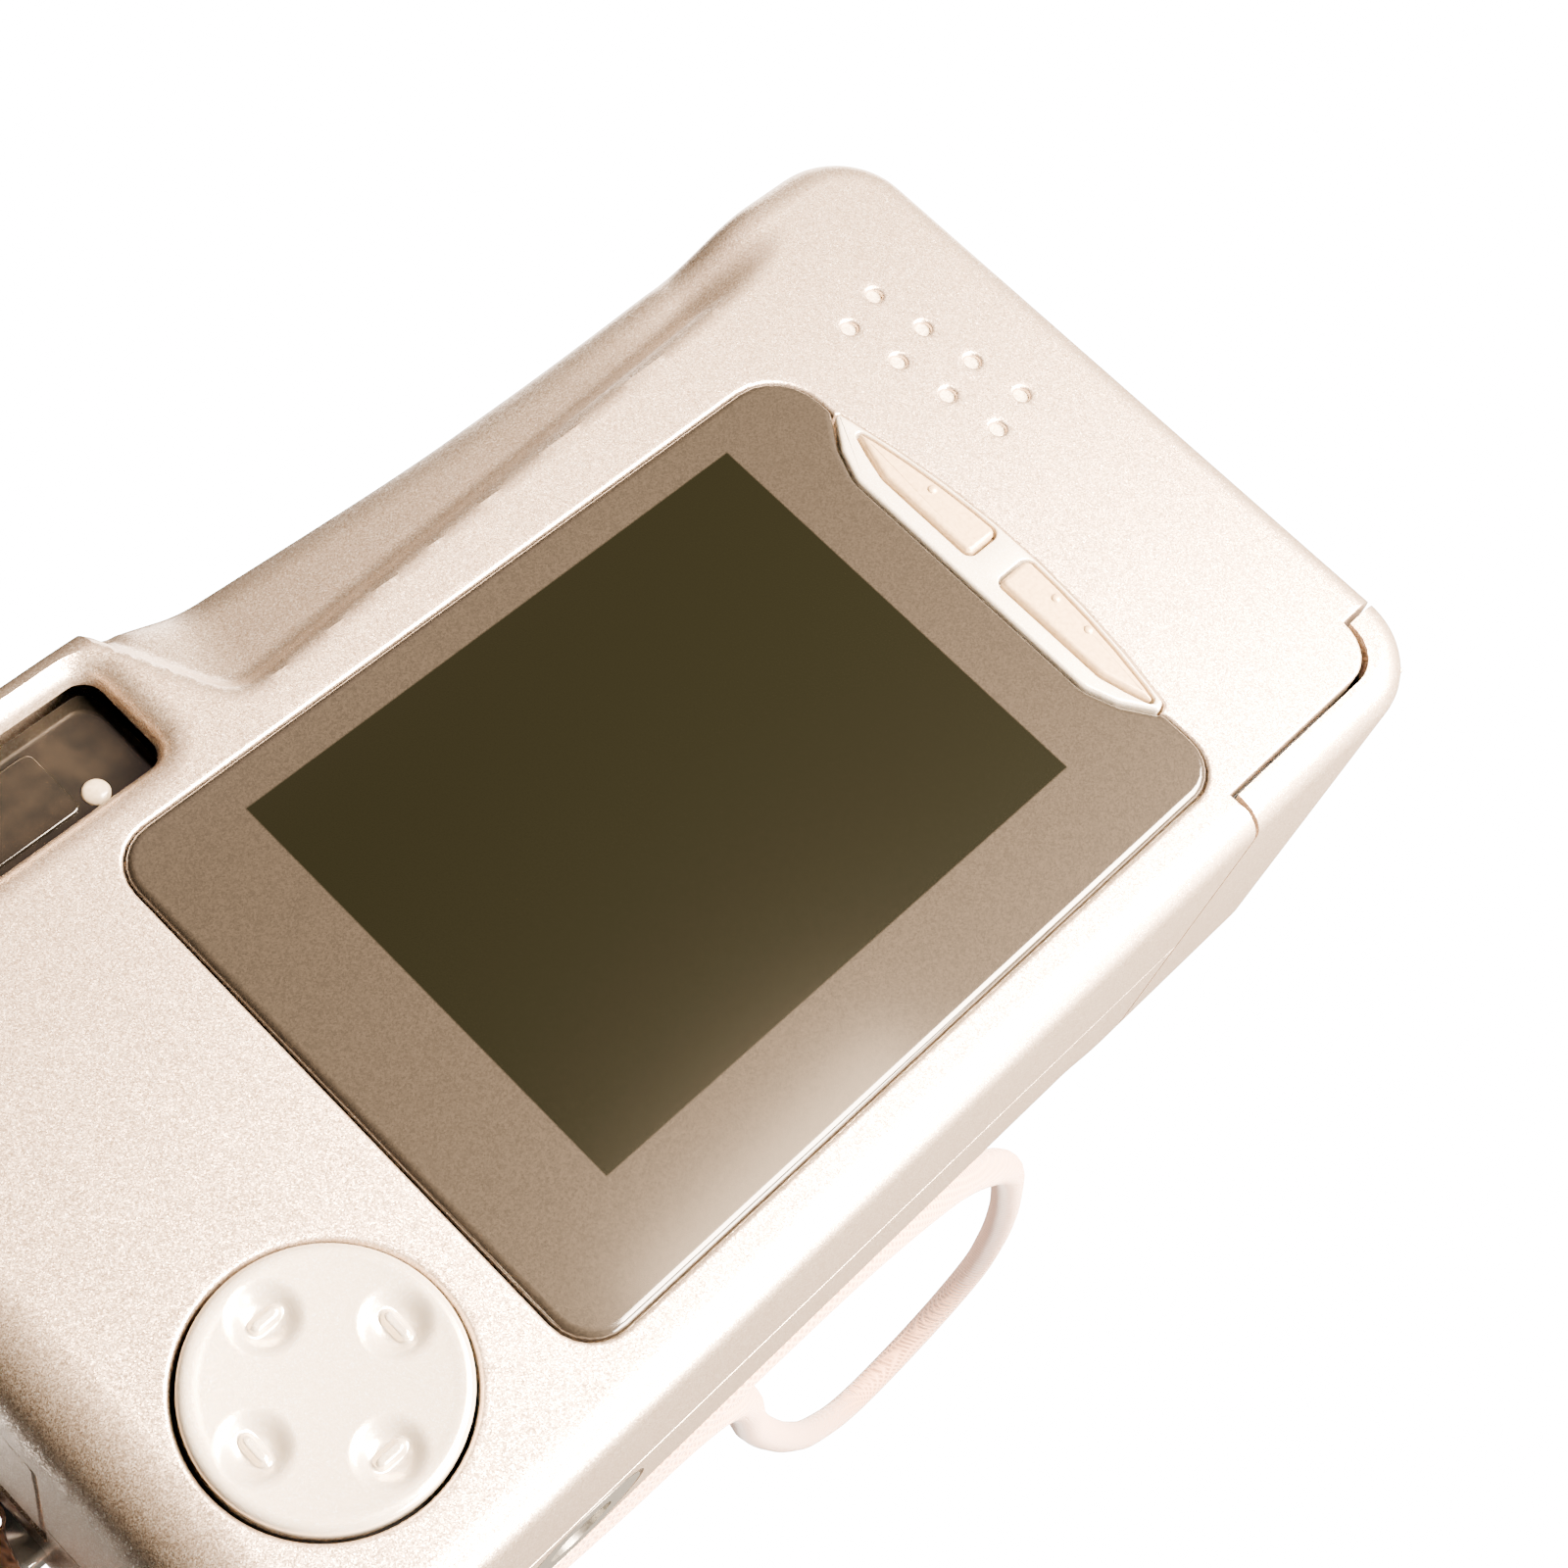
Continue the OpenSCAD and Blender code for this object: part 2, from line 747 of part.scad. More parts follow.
module image_sensor() {
    color("black") at_casing()
        block([lens_x - 5.5, -3.8, lens_z - 4.5], [lens_x + 5.5, -2.6, lens_z + 4.5]);
}

module sensor_board() {
    color("green") at_casing()
        block([lens_x - 10, -5, lens_z - 9], [lens_x + 10, -3.8, lens_z + 9]);
}

// ---------- electronics ----------

module main_board() {
    color("green") at_casing() {
        block([-28, -9.9, 5], [29.6, -8.8, 44]);
        block([4, -8.8, 24], [15, -7.4, 35]);
        block([4, -8.8, 9], [13, -7.6, 18]);
        block([18, -8.8, 27], [27, -7.8, 37]);
    }
}

module top_board() {
    color("green") at_casing() {
        block([1, -5, 50], [27, 5, 51]);
        block([shutter_x - 3, -3, 51], [shutter_x + 3, 3, 52.6]);
        block([power_x - 2.5, -2.5, 51], [power_x + 2.5, 2.5, 53.2]);
    }
}

module card_socket() {
    color("silver") at_casing()
        difference() {
            block([x_left + cover_pocket_d + wall + 0.1, -8.6, 22], [-17.5, -5.2, 47]);
            block([-48, -8.1, 22.6], [-19, -5.7, 46.4]);
        }
}

module usb_jack() {
    color("silver") at_casing()
        difference() {
            block([x_left + cover_pocket_d + wall + 0.1, -4.7, 23.2], [-36.5, 0.4, 31.8]);
            block([x_left, -3.9, 24], [-38, -0.4, 31]);
        }
}

module av_jack() {
    color("black") at_casing()
        difference() {
            block([x_left + cover_pocket_d + wall + 0.1, -4.6, 33.6], [-34, 1.8, 40.4]);
            bar_x(-1.4, 37, 1.8, x_left, -35);
        }
}

module dc_jack() {
    color("black") at_casing()
        difference() {
            block([x_left + cover_pocket_d + wall + 0.1, -4.2, 41.4], [-37.5, 1.4, 47.4]);
            bar_x(-1.4, 44.4, 1.75, x_left, -38.5);
        }
}

// ---------- buttons on the top ----------

module shutter_ring() {
    color("silver") at_casing()
        difference() {
            bar_z(shutter_x, 0, shutter_r + 1.7, body_h - wall, body_h + 0.8);
            bar_z(shutter_x, 0, shutter_r + button_fit, 0, z_top + over);
        }
}

module shutter_button() {
    color("lightgray") at_casing() {
        bar_z(shutter_x, 0, shutter_r, body_h - 0.6, body_h + 1.5);
        bar_z(shutter_x, 0, 1.5, 53.8, body_h - 0.5);
    }
}

module power_button() {
    color("lightgray") at_casing() {
        bar_z(power_x, 0, power_r, body_h - 0.9, body_h + 1.1);
        bar_z(power_x, 0, 1.2, 54, body_h - 0.8);
    }
}

// ---------- batteries and their door ----------

module battery_compartment() {
    color("darkgray") at_casing() {
        difference() {
            intersection() {
                block([room_x0, room_y0, room_z], [room_x1, room_y1, body_h]);
                casing_form(wall + 0.2);
            }
            shelf_cut(wall + 0.2);
            intersection() {
                block([room_x0 + room_wall, room_y0 + room_wall, room_z - over],
                    [room_x1 - room_wall, room_y1 - room_wall, body_h]);
                casing_form(wall + 0.2 + room_wall);
            }
            block([room_x0 + room_wall, room_y0 + room_wall, room_z - over],
                [room_x1 - room_wall, room_y1 - room_wall, room_z + 4]);
        }
        for (y = ear_y)
            difference() {
                union() {
                    along_y(y, y + ear_t) translate([door_x, door_z]) circle(1.1);
                    block([door_x - 0.8, y, door_z], [door_x, y + ear_t, room_z + 2]);
                }
                bar_y(door_x, door_z, door_pin_r, y - over, y + ear_t + over);
            }
    }
}

module battery_cells() {
    color("goldenrod") at_casing()
        for (i = [0, 1])
            translate([cell_x, cell_front_y - i * cell_pitch, cell_z]) {
                translate([0, 0, i * 1.2]) cylinder(h = cell_l - 1.2, r = cell_d / 2);
                translate([0, 0, i == 0 ? cell_l - 1.3 : 0]) cylinder(h = 1.3, r = 2.75);
            }
}

module top_contacts() {
    color("gold") at_casing()
        for (i = [0, 1])
            block([cell_x - 5, cell_front_y - i * cell_pitch - 5, 53.5],
                [cell_x + 4, cell_front_y - i * cell_pitch + 5, 53.9]);
}

module door_hinge_pin() {
    color("silver") at_casing() bar_y(door_x, door_z, door_pin_r, -14, 16.8);
}

module battery_door() {
    color("silver") at_casing()
        difference() {
            intersection() {
                casing_form(0);
                along_y(y_back - over, y_grip + over) door_outline(0);
            }
            bar_y(door_x, door_z, door_pin_r + running_fit, -14.2, 17);
            for (y = ear_y)
                block([0, y - gap, -over], [door_x + 2, y + ear_t + gap, door_side_z]);
            block([latch_x - latch_w / 2 - latch_travel - gap, -latch_l / 2 - gap, -over],
                [latch_x + latch_w / 2 + gap, latch_l / 2 + gap, 1.4]);
        }
}

module door_contact() {
    color("gold") at_casing() {
        block([34, -11.5, door_t], [45.5, 14.5, door_t + 0.2]);
        for (i = [0, 1])
            bar_z(cell_x, cell_front_y - i * cell_pitch, 2, door_t + 0.1, door_t + 0.5);
    }
}

module door_latch() {
    color("gray") at_casing() {
        block([latch_x - latch_w / 2, -latch_l / 2, 0.5], [latch_x + latch_w / 2, latch_l / 2, 1.2]);
        for (i = [-1, 0, 1])
            block([latch_x + i * 1.4 - 0.3, -latch_l / 2 + 1, 0.25],
                [latch_x + i * 1.4 + 0.3, latch_l / 2 - 1, 0.6]);
    }
}

// ---------- terminal cover, strap lug, socket and screws ----------

module terminal_cover() {
    color("silver") at_casing()
        difference() {
            union() {
                along_y(cover_y0, cover_pin_y)
                    soft_rect(x_left, cover_z0, x_left + cover_t, cover_z1, [0, 0, 0, 0]);
                bar_z(cover_pin_x, cover_pin_y, cover_knuckle_r, cover_z0, cover_z1);
            }
            bar_z(cover_pin_x, cover_pin_y, door_pin_r + running_fit, 0, z_top);
        }
}

module cover_pin() {
    color("silver") at_casing() bar_z(cover_pin_x, cover_pin_y, door_pin_r, cover_z0 - gap, cover_z1 + gap);
}

module tripod_socket() {
    color("silver") at_casing()
        difference() {
            union() {
                bar_z(tripod_x, tripod_y, 5, 0, wall);
                bar_z(tripod_x, tripod_y, 6, wall, tripod_depth + 1);
            }
            bar_z(tripod_x, tripod_y, tripod_hole_r, -over, tripod_depth);
        }
}

module casing_screws() {
    color("gray") at_casing()
        screw_places() {
            difference() {
                bar_z(0, 0, 1.65, 0.2, wall);
                block([-0.2, -1, 0], [0.2, 1, 0.6]);
                block([-1, -0.2, 0], [1, 0.2, 0.6]);
            }
            bar_z(0, 0, 0.8, wall - 0.1, 5);
        }
}

module strap_lug() {
    color("silver") at_casing()
        difference() {
            union() {
                along_y(lug_y - lug_t / 2, lug_y + lug_t / 2)
                    soft_rect(x_left - lug_reach, lug_z - 4, x_left + 2 * wall, lug_z + 4, [2.4, 0, 0, 2.4]);
                block([x_left + wall, lug_y - 3, lug_z - 6], [x_left + 2 * wall, lug_y + 3, lug_z + 6]);
            }
            bar_y(x_left - 1.5, lug_z + 0.2, 1.1, 0, 2 * lug_y);
        }
}

// ---------- strap ----------

function unit(v) = v / norm(v);
// Direction of a route at its point i
function heading(p, i) = unit(p[min(i + 1, len(p) - 1)] - p[max(i - 1, 0)]);
// Side vector of a ring, level with the ground where the route allows
function side(d) = unit(cross(d, abs(d[2]) > 0.9 ? [0, 1, 0] : [0, 0, 1]));
// Points on a smooth curve through a route, n to each stretch
function spline(a, b, c, d, t) =
    0.5 * (2 * b + (c - a) * t + (2 * a - 5 * b + 4 * c - d) * t * t + (3 * b - a - 3 * c + d) * t * t * t);
function smooth_route(p, n) = [
    for (i = [0:len(p) - 2], k = [0:n - 1])
        spline(p[max(i - 1, 0)], p[i], p[i + 1], p[min(i + 2, len(p) - 1)], k / n),
    p[len(p) - 1]
];
// One ring of the tube round point c, square to the direction d
function ring(c, d, r, sides) = [
    for (k = [0:sides - 1])
        let (u = side(d), v = cross(u, d), a = 360 * k / sides) c + r * (cos(a) * u + sin(a) * v)
];

// A cord as one tube along a route
module tube(p, r, sides) {
    rings = [for (i = [0:len(p) - 1]) ring(p[i], heading(p, i), r, sides)];
    points = [for (one = rings) each one];
    last = (len(p) - 1) * sides;
    polyhedron(points, [
        [for (k = [0:sides - 1]) k],
        for (i = [0:len(p) - 2], k = [0:sides - 1])
            let (a = i * sides + k, b = i * sides + (k + 1) % sides) [a, a + sides, b + sides, b],
        [for (k = [0:sides - 1]) last + sides - 1 - k]
    ]);
}

module strap_loop() {
    color("dimgray") at_casing() tube(smooth_route(loop_route, 2), loop_d / 2, 8);
}

module wrist_cord() {
    color("dimgray") at_casing() tube(smooth_route(wrist_route, 3), wrist_d / 2, 8);
}

module strap_ferrule() {
    color("silver") at_casing()
        along_x(ferrule_x0, ferrule_x1) pad(ferrule_y, 2.2, 8, 4.4, 1.6);
}

back_cover();
front_cover();
display_window();
display_panel();
display_backlight();
key_trim();
eyepiece_plate();
eye_lens();
finder_tube();
finder_front_window();
indicator_lamp();
speaker();
microphone();
self_timer_lamp();
flash_window();
flash_reflector();
flash_tube();
flash_capacitor();
lens_ring();
lens_housing();
front_lens_cell();
front_lens();
guide_rods();
focus_motor();
image_sensor();
sensor_board();
main_board();
key_board();
key_domes();
shutter_ring();
top_board();
battery_compartment();
battery_cells();
top_contacts();
door_hinge_pin();
card_socket();
usb_jack();
av_jack();
dc_jack();
cover_pin();
tripod_socket();
casing_screws();
strap_lug();
strap_loop();
strap_ferrule();
wrist_cord();
mode_key();
set_key();
disc_pivot();
control_disc();
shutter_button();
power_button();
battery_door();
door_contact();
door_latch();
terminal_cover();
barrier_blade_upper();
barrier_blade_lower();
focus_cell();
focus_lens();
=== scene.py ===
# %% [markdown]
# # A pocket camera, seen from the back
#
# The lesson builds the outside of a small digital camera as numpy surfaces over its CAD frame.
# Lengths are written in millimetres and turned into metres when a mesh is made. X runs to the right
# as seen from the back, Y runs the way the lens looks, Z runs up, and the base stands on Z = 0.

# %% Frame and libraries
import json
import math
import bpy
import numpy as np
from mathutils import Matrix


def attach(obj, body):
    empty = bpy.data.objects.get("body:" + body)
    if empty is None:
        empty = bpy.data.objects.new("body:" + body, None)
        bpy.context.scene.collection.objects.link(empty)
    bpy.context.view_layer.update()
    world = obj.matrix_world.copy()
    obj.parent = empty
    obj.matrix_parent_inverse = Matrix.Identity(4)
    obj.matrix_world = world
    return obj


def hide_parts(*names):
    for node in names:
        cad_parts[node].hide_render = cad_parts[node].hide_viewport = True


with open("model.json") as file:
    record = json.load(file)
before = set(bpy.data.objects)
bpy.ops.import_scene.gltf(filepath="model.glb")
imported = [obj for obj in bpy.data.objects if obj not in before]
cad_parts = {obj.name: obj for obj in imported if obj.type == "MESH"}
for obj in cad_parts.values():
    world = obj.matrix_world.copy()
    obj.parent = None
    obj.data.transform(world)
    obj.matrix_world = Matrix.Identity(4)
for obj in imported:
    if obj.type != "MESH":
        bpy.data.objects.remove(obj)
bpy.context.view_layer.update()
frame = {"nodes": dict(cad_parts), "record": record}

scene = bpy.context.scene
MM = 0.001
SHIFT = np.array([1.8, 0.0, 0.0])  # the casing's centre line lies this far right of the row's origin

# %% [markdown]
# ## The camera that looks at it
#
# It stands low behind the left end, so the base is seen a little from underneath.

# %% Viewing camera
eye = (-0.0683, -0.1636, -0.0144)
axes = ((0.682, -0.189, -0.706), (0.567, -0.472, 0.675), (-0.461, -0.861, -0.215))
lens_data = bpy.data.cameras.new("viewer")
lens_data.lens = 63.6
lens_data.sensor_width = 36
lens_data.clip_start = 0.01
viewer = bpy.data.objects.new("viewer", lens_data)
scene.collection.objects.link(viewer)
turn = np.array([a / np.linalg.norm(a) for a in np.array(axes)]).T
viewer.matrix_world = Matrix.Translation(eye) @ Matrix([list(r) for r in turn]).to_4x4()
scene.camera = viewer
print("camera at", eye)

# %% [markdown]
# ## Numpy surfaces
#
# A surface is an array of points, one row after another. Neighbouring points make four-sided faces,
# and a row can close on itself.


# %% Mesh makers
def link_mesh(name, points, faces, smooth=True):
    """One mesh object from points in millimetres from the casing's centre line, and faces as lists."""
    mesh = bpy.data.meshes.new(name)
    mesh.from_pydata(((np.asarray(points) + SHIFT) * MM).tolist(), [], faces)
    mesh.polygons.foreach_set("use_smooth", np.full(len(mesh.polygons), smooth))
    mesh.update()
    obj = bpy.data.objects.new(name, mesh)
    scene.collection.objects.link(obj)
    return obj


def grid_faces(rows, cols, close_cols=False, start=0, flip=False):
    """Faces between neighbours in a grid of rows by cols points numbered from start."""
    last = cols if close_cols else cols - 1
    i, j = np.meshgrid(np.arange(rows - 1), np.arange(last), indexing="ij")
    k = (j + 1) % cols
    quads = np.stack([i * cols + j, i * cols + k, (i + 1) * cols + k, (i + 1) * cols + j], -1)
    quads = quads.reshape(-1, 4) + start
    return (quads[:, ::-1] if flip else quads).tolist()


def rounded_rectangle(x0, z0, x1, z1, radii, per_corner=12, per_side=2):
    """Points once round a rectangle with a radius at each corner, counter-clockwise from the lower left.

    Each corner is a quarter of a circle about the point one radius inside both sides."""
    signs = [(-1, -1, x0, z0), (1, -1, x1, z0), (1, 1, x1, z1), (-1, 1, x0, z1)]
    out = []
    for n, ((sx, sz, cx, cz), r) in enumerate(zip(signs, radii)):
        r = max(r, 0.001)
        a = math.radians(180 + 90 * n) + np.linspace(0, math.pi / 2, per_corner)
        out.append(np.stack([cx - sx * r + r * np.cos(a), cz - sz * r + r * np.sin(a)], -1))
    full = []
    for n in range(4):
        full.append(out[n])
        a, b = out[n][-1], out[(n + 1) % 4][0]
        t = np.linspace(0, 1, per_side + 2)[1:-1, None]
        full.append(a + (b - a) * t)
    return np.concatenate(full)


def round_pad(cx, cz, w, h, r, **more):
    """A function of the inset that gives a rounded rectangle round its centre."""

    def outline(inset):
        r_in = max(r - inset, 0.02)
        return rounded_rectangle(cx - w / 2 + inset, cz - h / 2 + inset, cx + w / 2 - inset,
                                 cz + h / 2 - inset, [r_in] * 4, **more)

    return outline


def round_disc(cx, cz, r, count=64):
    """A function of the inset that gives a circle."""

    def outline(inset):
        a = np.linspace(0, 2 * math.pi, count, endpoint=False)
        return np.stack([cx + (r - inset) * np.cos(a), cz + (r - inset) * np.sin(a)], -1)

    return outline


def lofted(name, outline, profile, axis="y", caps=(True, True)):
    """A closed solid: the outline is drawn at each (inset, height) of the profile and joined up.

    axis says which way the heights run. The outline's own two numbers fill the other two axes."""
    rings = []
    for inset, height in profile:
        flat = outline(inset)
        h = np.full(len(flat), float(height))
        order = {"y": (flat[:, 0], h, flat[:, 1]), "z": (flat[:, 0], flat[:, 1], h),
                 "x": (h, flat[:, 0], flat[:, 1])}[axis]
        rings.append(np.stack(order, -1))
    m = len(rings[0])
    points = np.concatenate(rings)
    up = profile[-1][1] > profile[0][1]
    forward = up if axis in ("z", "x") else not up
    faces = grid_faces(len(rings), m, True, flip=not forward)
    first = list(range(m))
    last = list(range((len(rings) - 1) * m, len(rings) * m))
    if caps[0]:
        faces.append(first[::-1] if forward else first)
    if caps[1]:
        faces.append(last if forward else last[::-1])
    return link_mesh(name, points, faces)


def rounded_profile(y0, y1, r0, r1, steps=5):
    """Insets and heights of a plate from y0 to y1 with edges rounded by r0 and r1.

    Each edge is a quarter of a circle, with one more ring just inside it that keeps the flat face flat."""
    s = 1 if y1 > y0 else -1
    a = np.linspace(0, math.pi / 2, steps)
    out = [(r0 * 1.06 + 0.03, y0)]
    out += [(r0 * (1 - math.sin(t)), y0 + s * r0 * (1 - math.cos(t))) for t in a]
    out += [(r1 * (1 - math.cos(t)), y1 - s * r1 * (1 - math.sin(t))) for t in a]
    out += [(r1 * 1.06 + 0.03, y1)]
    return out


def tube_mesh(name, path, radius, sides=16):
    """A round tube along a path: each ring stands square to the path's local direction."""
    p = np.asarray(path, float)
    d = np.gradient(p, axis=0)
    d /= np.linalg.norm(d, axis=1)[:, None]
    u = np.cross(d, [0.0, 0.0, 1.0])
    weak = np.linalg.norm(u, axis=1) < 0.3
    u[weak] = np.cross(d[weak], [0.0, 1.0, 0.0])
    u /= np.linalg.norm(u, axis=1)[:, None]
    for i in range(1, len(u)):
        u[i] = u[i - 1] - d[i] * (u[i - 1] @ d[i])
        u[i] /= np.linalg.norm(u[i])
    v = np.cross(d, u)
    a = np.linspace(0, 2 * math.pi, sides, endpoint=False)
    ring = p[:, None] + radius * (np.cos(a)[:, None] * u[:, None] + np.sin(a)[:, None] * v[:, None])
    faces = grid_faces(len(p), sides, True)
    faces.append(list(range(sides))[::-1])
    faces.append(list(range((len(p) - 1) * sides, len(p) * sides)))
    return link_mesh(name, ring.reshape(-1, 3), faces)


def lathe(name, cx, cz, profile, count=96):
    """A solid of revolution about an axis along Y: the profile is a closed loop of (radius, y)."""
    pr = np.asarray(profile, float)
    r, y = pr[:, 0], pr[:, 1]
    a = np.linspace(0, 2 * math.pi, count, endpoint=False)
    pts = np.stack([cx + r[:, None] * np.cos(a), np.repeat(y[:, None], count, 1),
                    cz + r[:, None] * np.sin(a)], -1)
    area = np.sum(r * np.roll(y, -1) - np.roll(r, -1) * y)
    rows = len(pr)
    faces = grid_faces(rows, count, True)
    last, first = (rows - 1) * count + np.arange(count), np.arange(count)
    faces += np.stack([last, np.roll(last, -1), np.roll(first, -1), first], -1).tolist()
    if area > 0:
        faces = [f[::-1] for f in faces]
    return link_mesh(name, pts.reshape(-1, 3), faces)


print("mesh makers ready")

# %% [markdown]
# ## The strap
#
# Two cords lie loose on the table: a thin one through the lug, and a thicker one for the wrist. Both
# follow the routes of their CAD tubes.


# %% Strap cords
def smooth_route(route, n):
    """Points on a smooth curve through a route, n to a stretch, each a cubic in its four neighbours."""
    p = np.asarray(route, float)
    a, b = np.concatenate([p[:1], p[:-2]]), p[:-1]
    c, d = p[1:], np.concatenate([p[2:], p[-1:]])
    t = (np.arange(n) / n)[None, :, None]
    a, b, c, d = (q[:, None] for q in (a, b, c, d))
    q = 0.5 * (2 * b + (c - a) * t + (2 * a - 5 * b + 4 * c - d) * t**2 + (3 * b - a - 3 * c + d) * t**3)
    return np.concatenate([q.reshape(-1, 3), p[-1:]])


loop_route = [
    (-38, 21.8, 2.1), (-41, 21.8, 1.4), (-45.5, 21, 1.1), (-49.5, 19.2, 3), (-51.6, 17, 8),
    (-52.2, 15, 15), (-52, 13.2, 21.2), (-51.6, 11.7, 24.2), (-51.5, 9.4, 25.3), (-51.6, 7.1, 24.2),
    (-52.5, 6.5, 20.4), (-53.4, 6.8, 14), (-54, 9, 7.4), (-54, 13, 2.6), (-52.2, 17.4, 0.9),
    (-48, 21.4, 0.8), (-43, 23.3, 1.2), (-38, 23.3, 2.1)]
wrist_route = [
    (-29, 24.3, 2.2), (-24, 24.6, 1.9), (-18, 25.1, 1.7), (-11, 27.2, 1.7), (-5, 33.5, 1.7), (0, 46, 1.7),
    (6, 66, 1.7), (15, 92, 1.7), (26, 121, 1.7), (37, 146, 1.7), (49, 163, 1.7), (60, 160, 1.7),
    (65, 146, 1.7), (62, 128, 1.7), (56, 108, 1.7), (48, 86, 1.7), (39, 64, 1.7), (29, 46, 1.7),
    (19, 32.5, 1.7), (6, 23.6, 1.7), (-9, 21.0, 1.7), (-20, 20.7, 1.8), (-25, 20.6, 1.9), (-29, 20.7, 2.2)]


def lay_cord(name, route, n, diameter, node):
    """A tube along a smooth route, attached to the casing in place of the CAD node, which is hidden."""
    path = smooth_route(route, n)
    cord = tube_mesh(name, path, diameter / 2, 16)
    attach(cord, "casing")
    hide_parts(node)
    return cord


thin_cord = lay_cord("thin_strap_cord", loop_route, 6, 1.2, "strap_loop")
wrist_cord = lay_cord("wrist_strap_cord", wrist_route, 8, 3.2, "wrist_cord")


# %% [markdown]
# ## Paints, plastics and metals
#
# Each material is a small network of nodes worked out from the piece's own coordinates in metres.
# The grain sizes are real ones: metallic paint has flakes of about a tenth of a millimetre.


# %% Material makers
def linear(hex_color):
    """The linear colour of an sRGB hex, worked out with the standard curve."""
    c = np.array([int(hex_color[i : i + 2], 16) for i in (1, 3, 5)]) / 255
    c = np.where(c <= 0.04045, c / 12.92, ((c + 0.055) / 1.055) ** 2.4)
    return (*c.tolist(), 1.0)


def add(tree, kind, settings=None, links=None, **values):
    """One node with its settings, values on its inputs and links into them."""
    node = tree.nodes.new(kind)
    for k, v in (settings or {}).items():
        setattr(node, k, v)
    for k, v in values.items():
        name = k.replace("_", " ")
        node.inputs[int(k[1:]) if k[0] == "i" and k[1:].isdigit() else name].default_value = v
    for k, v in (links or {}).items():
        tree.links.new(v, node.inputs[k])
    return node


def new_material(name):
    """An empty node material with its shader and its output, and the object's own coordinates."""
    m = bpy.data.materials.new(name)
    m.use_nodes = True
    tree = m.node_tree
    tree.nodes.clear()
    out = add(tree, "ShaderNodeOutputMaterial")
    shader = add(tree, "ShaderNodeBsdfPrincipled")
    tree.links.new(shader.outputs[0], out.inputs[0])
    where = add(tree, "ShaderNodeTexCoord").outputs["Object"]
    return m, tree, shader, where


def grained(name, color_a, color_b, roughness, size_mm, metallic=0.0, bump_mm=0.0, spread=0.06, coat=0.0,
            stretch=(1, 1, 1), clear=0.0, ior=1.5, detail=3.0):
    """A material whose colour drifts between two close tones over a noise of real size, with a fine bump."""
    m, tree, shader, where = new_material(name)
    scaled = add(tree, "ShaderNodeMapping", links={"Vector": where}, Scale=stretch)
    noise = add(tree, "ShaderNodeTexNoise", links={"Vector": scaled.outputs[0]}, Scale=1 / (size_mm * MM),
                Detail=detail)
    ramp = add(tree, "ShaderNodeValToRGB", links={"Fac": noise.outputs["Fac"]})
    ramp.color_ramp.elements[0].position, ramp.color_ramp.elements[1].position = 0.35, 0.65
    ramp.color_ramp.elements[0].color, ramp.color_ramp.elements[1].color = linear(color_a), linear(color_b)
    tree.links.new(ramp.outputs[0], shader.inputs["Base Color"])
    rough = add(tree, "ShaderNodeMapRange", links={"Value": noise.outputs["Fac"]},
                i3=max(roughness - spread, 0.01), i4=roughness + spread)
    tree.links.new(rough.outputs[0], shader.inputs["Roughness"])
    if bump_mm:
        bump = add(tree, "ShaderNodeBump", links={"Height": noise.outputs["Fac"]}, Strength=1.0,
                   Distance=bump_mm * MM)
        tree.links.new(bump.outputs[0], shader.inputs["Normal"])
    shader.inputs["Metallic"].default_value = metallic
    shader.inputs["Coat Weight"].default_value = coat
    shader.inputs["Coat Roughness"].default_value = 0.08
    shader.inputs["Transmission Weight"].default_value = clear
    shader.inputs["IOR"].default_value = ior
    return m


# Metallic paint: pale flakes in a clear warm lacquer, a few of them bright, so edges glitter
def metallic_paint(name, low, high, flake, size_mm, metallic, roughness, tilt):
    """Flakes are the cells of a Voronoi pattern; each has its own tone and tips the surface a little."""
    m, tree, shader, where = new_material(name)
    cells = add(tree, "ShaderNodeTexVoronoi", links={"Vector": where}, Scale=1 / (size_mm * MM))
    tone = add(tree, "ShaderNodeSeparateColor", links={"Color": cells.outputs["Color"]})
    mix = add(tree, "ShaderNodeMix", {"data_type": "RGBA"}, links={"Factor": tone.outputs[0]})
    mix.inputs["A"].default_value, mix.inputs["B"].default_value = linear(low), linear(high)
    bright = add(tree, "ShaderNodeMath", {"operation": "GREATER_THAN"},
                 links={"Value": tone.outputs[1]}, i1=0.93)
    glint = add(tree, "ShaderNodeMix", {"data_type": "RGBA"},
                links={"Factor": bright.outputs[0], "A": mix.outputs["Result"]})
    glint.inputs["B"].default_value = linear(flake)
    tree.links.new(glint.outputs["Result"], shader.inputs["Base Color"])
    tip = add(tree, "ShaderNodeVectorMath", {"operation": "SUBTRACT"}, links={0: cells.outputs["Color"]})
    tip.inputs[1].default_value = (0.5, 0.5, 0.5)
    lean = add(tree, "ShaderNodeVectorMath", {"operation": "SCALE"}, links={0: tip.outputs[0]}, Scale=tilt)
    geo = add(tree, "ShaderNodeNewGeometry")
    total = add(tree, "ShaderNodeVectorMath", {"operation": "ADD"},
                links={0: geo.outputs["Normal"], 1: lean.outputs[0]})
    unit = add(tree, "ShaderNodeVectorMath", {"operation": "NORMALIZE"}, links={0: total.outputs[0]})
    tree.links.new(unit.outputs[0], shader.inputs["Normal"])
    shader.inputs["Metallic"].default_value = metallic
    shader.inputs["Roughness"].default_value = roughness
    shader.inputs["Coat Weight"].default_value = 0.35
    shader.inputs["Coat Roughness"].default_value = 0.12
    return m


def put_on(obj, material):
    """Gives a piece one material."""
    obj.data.materials.clear()
    obj.data.materials.append(material)


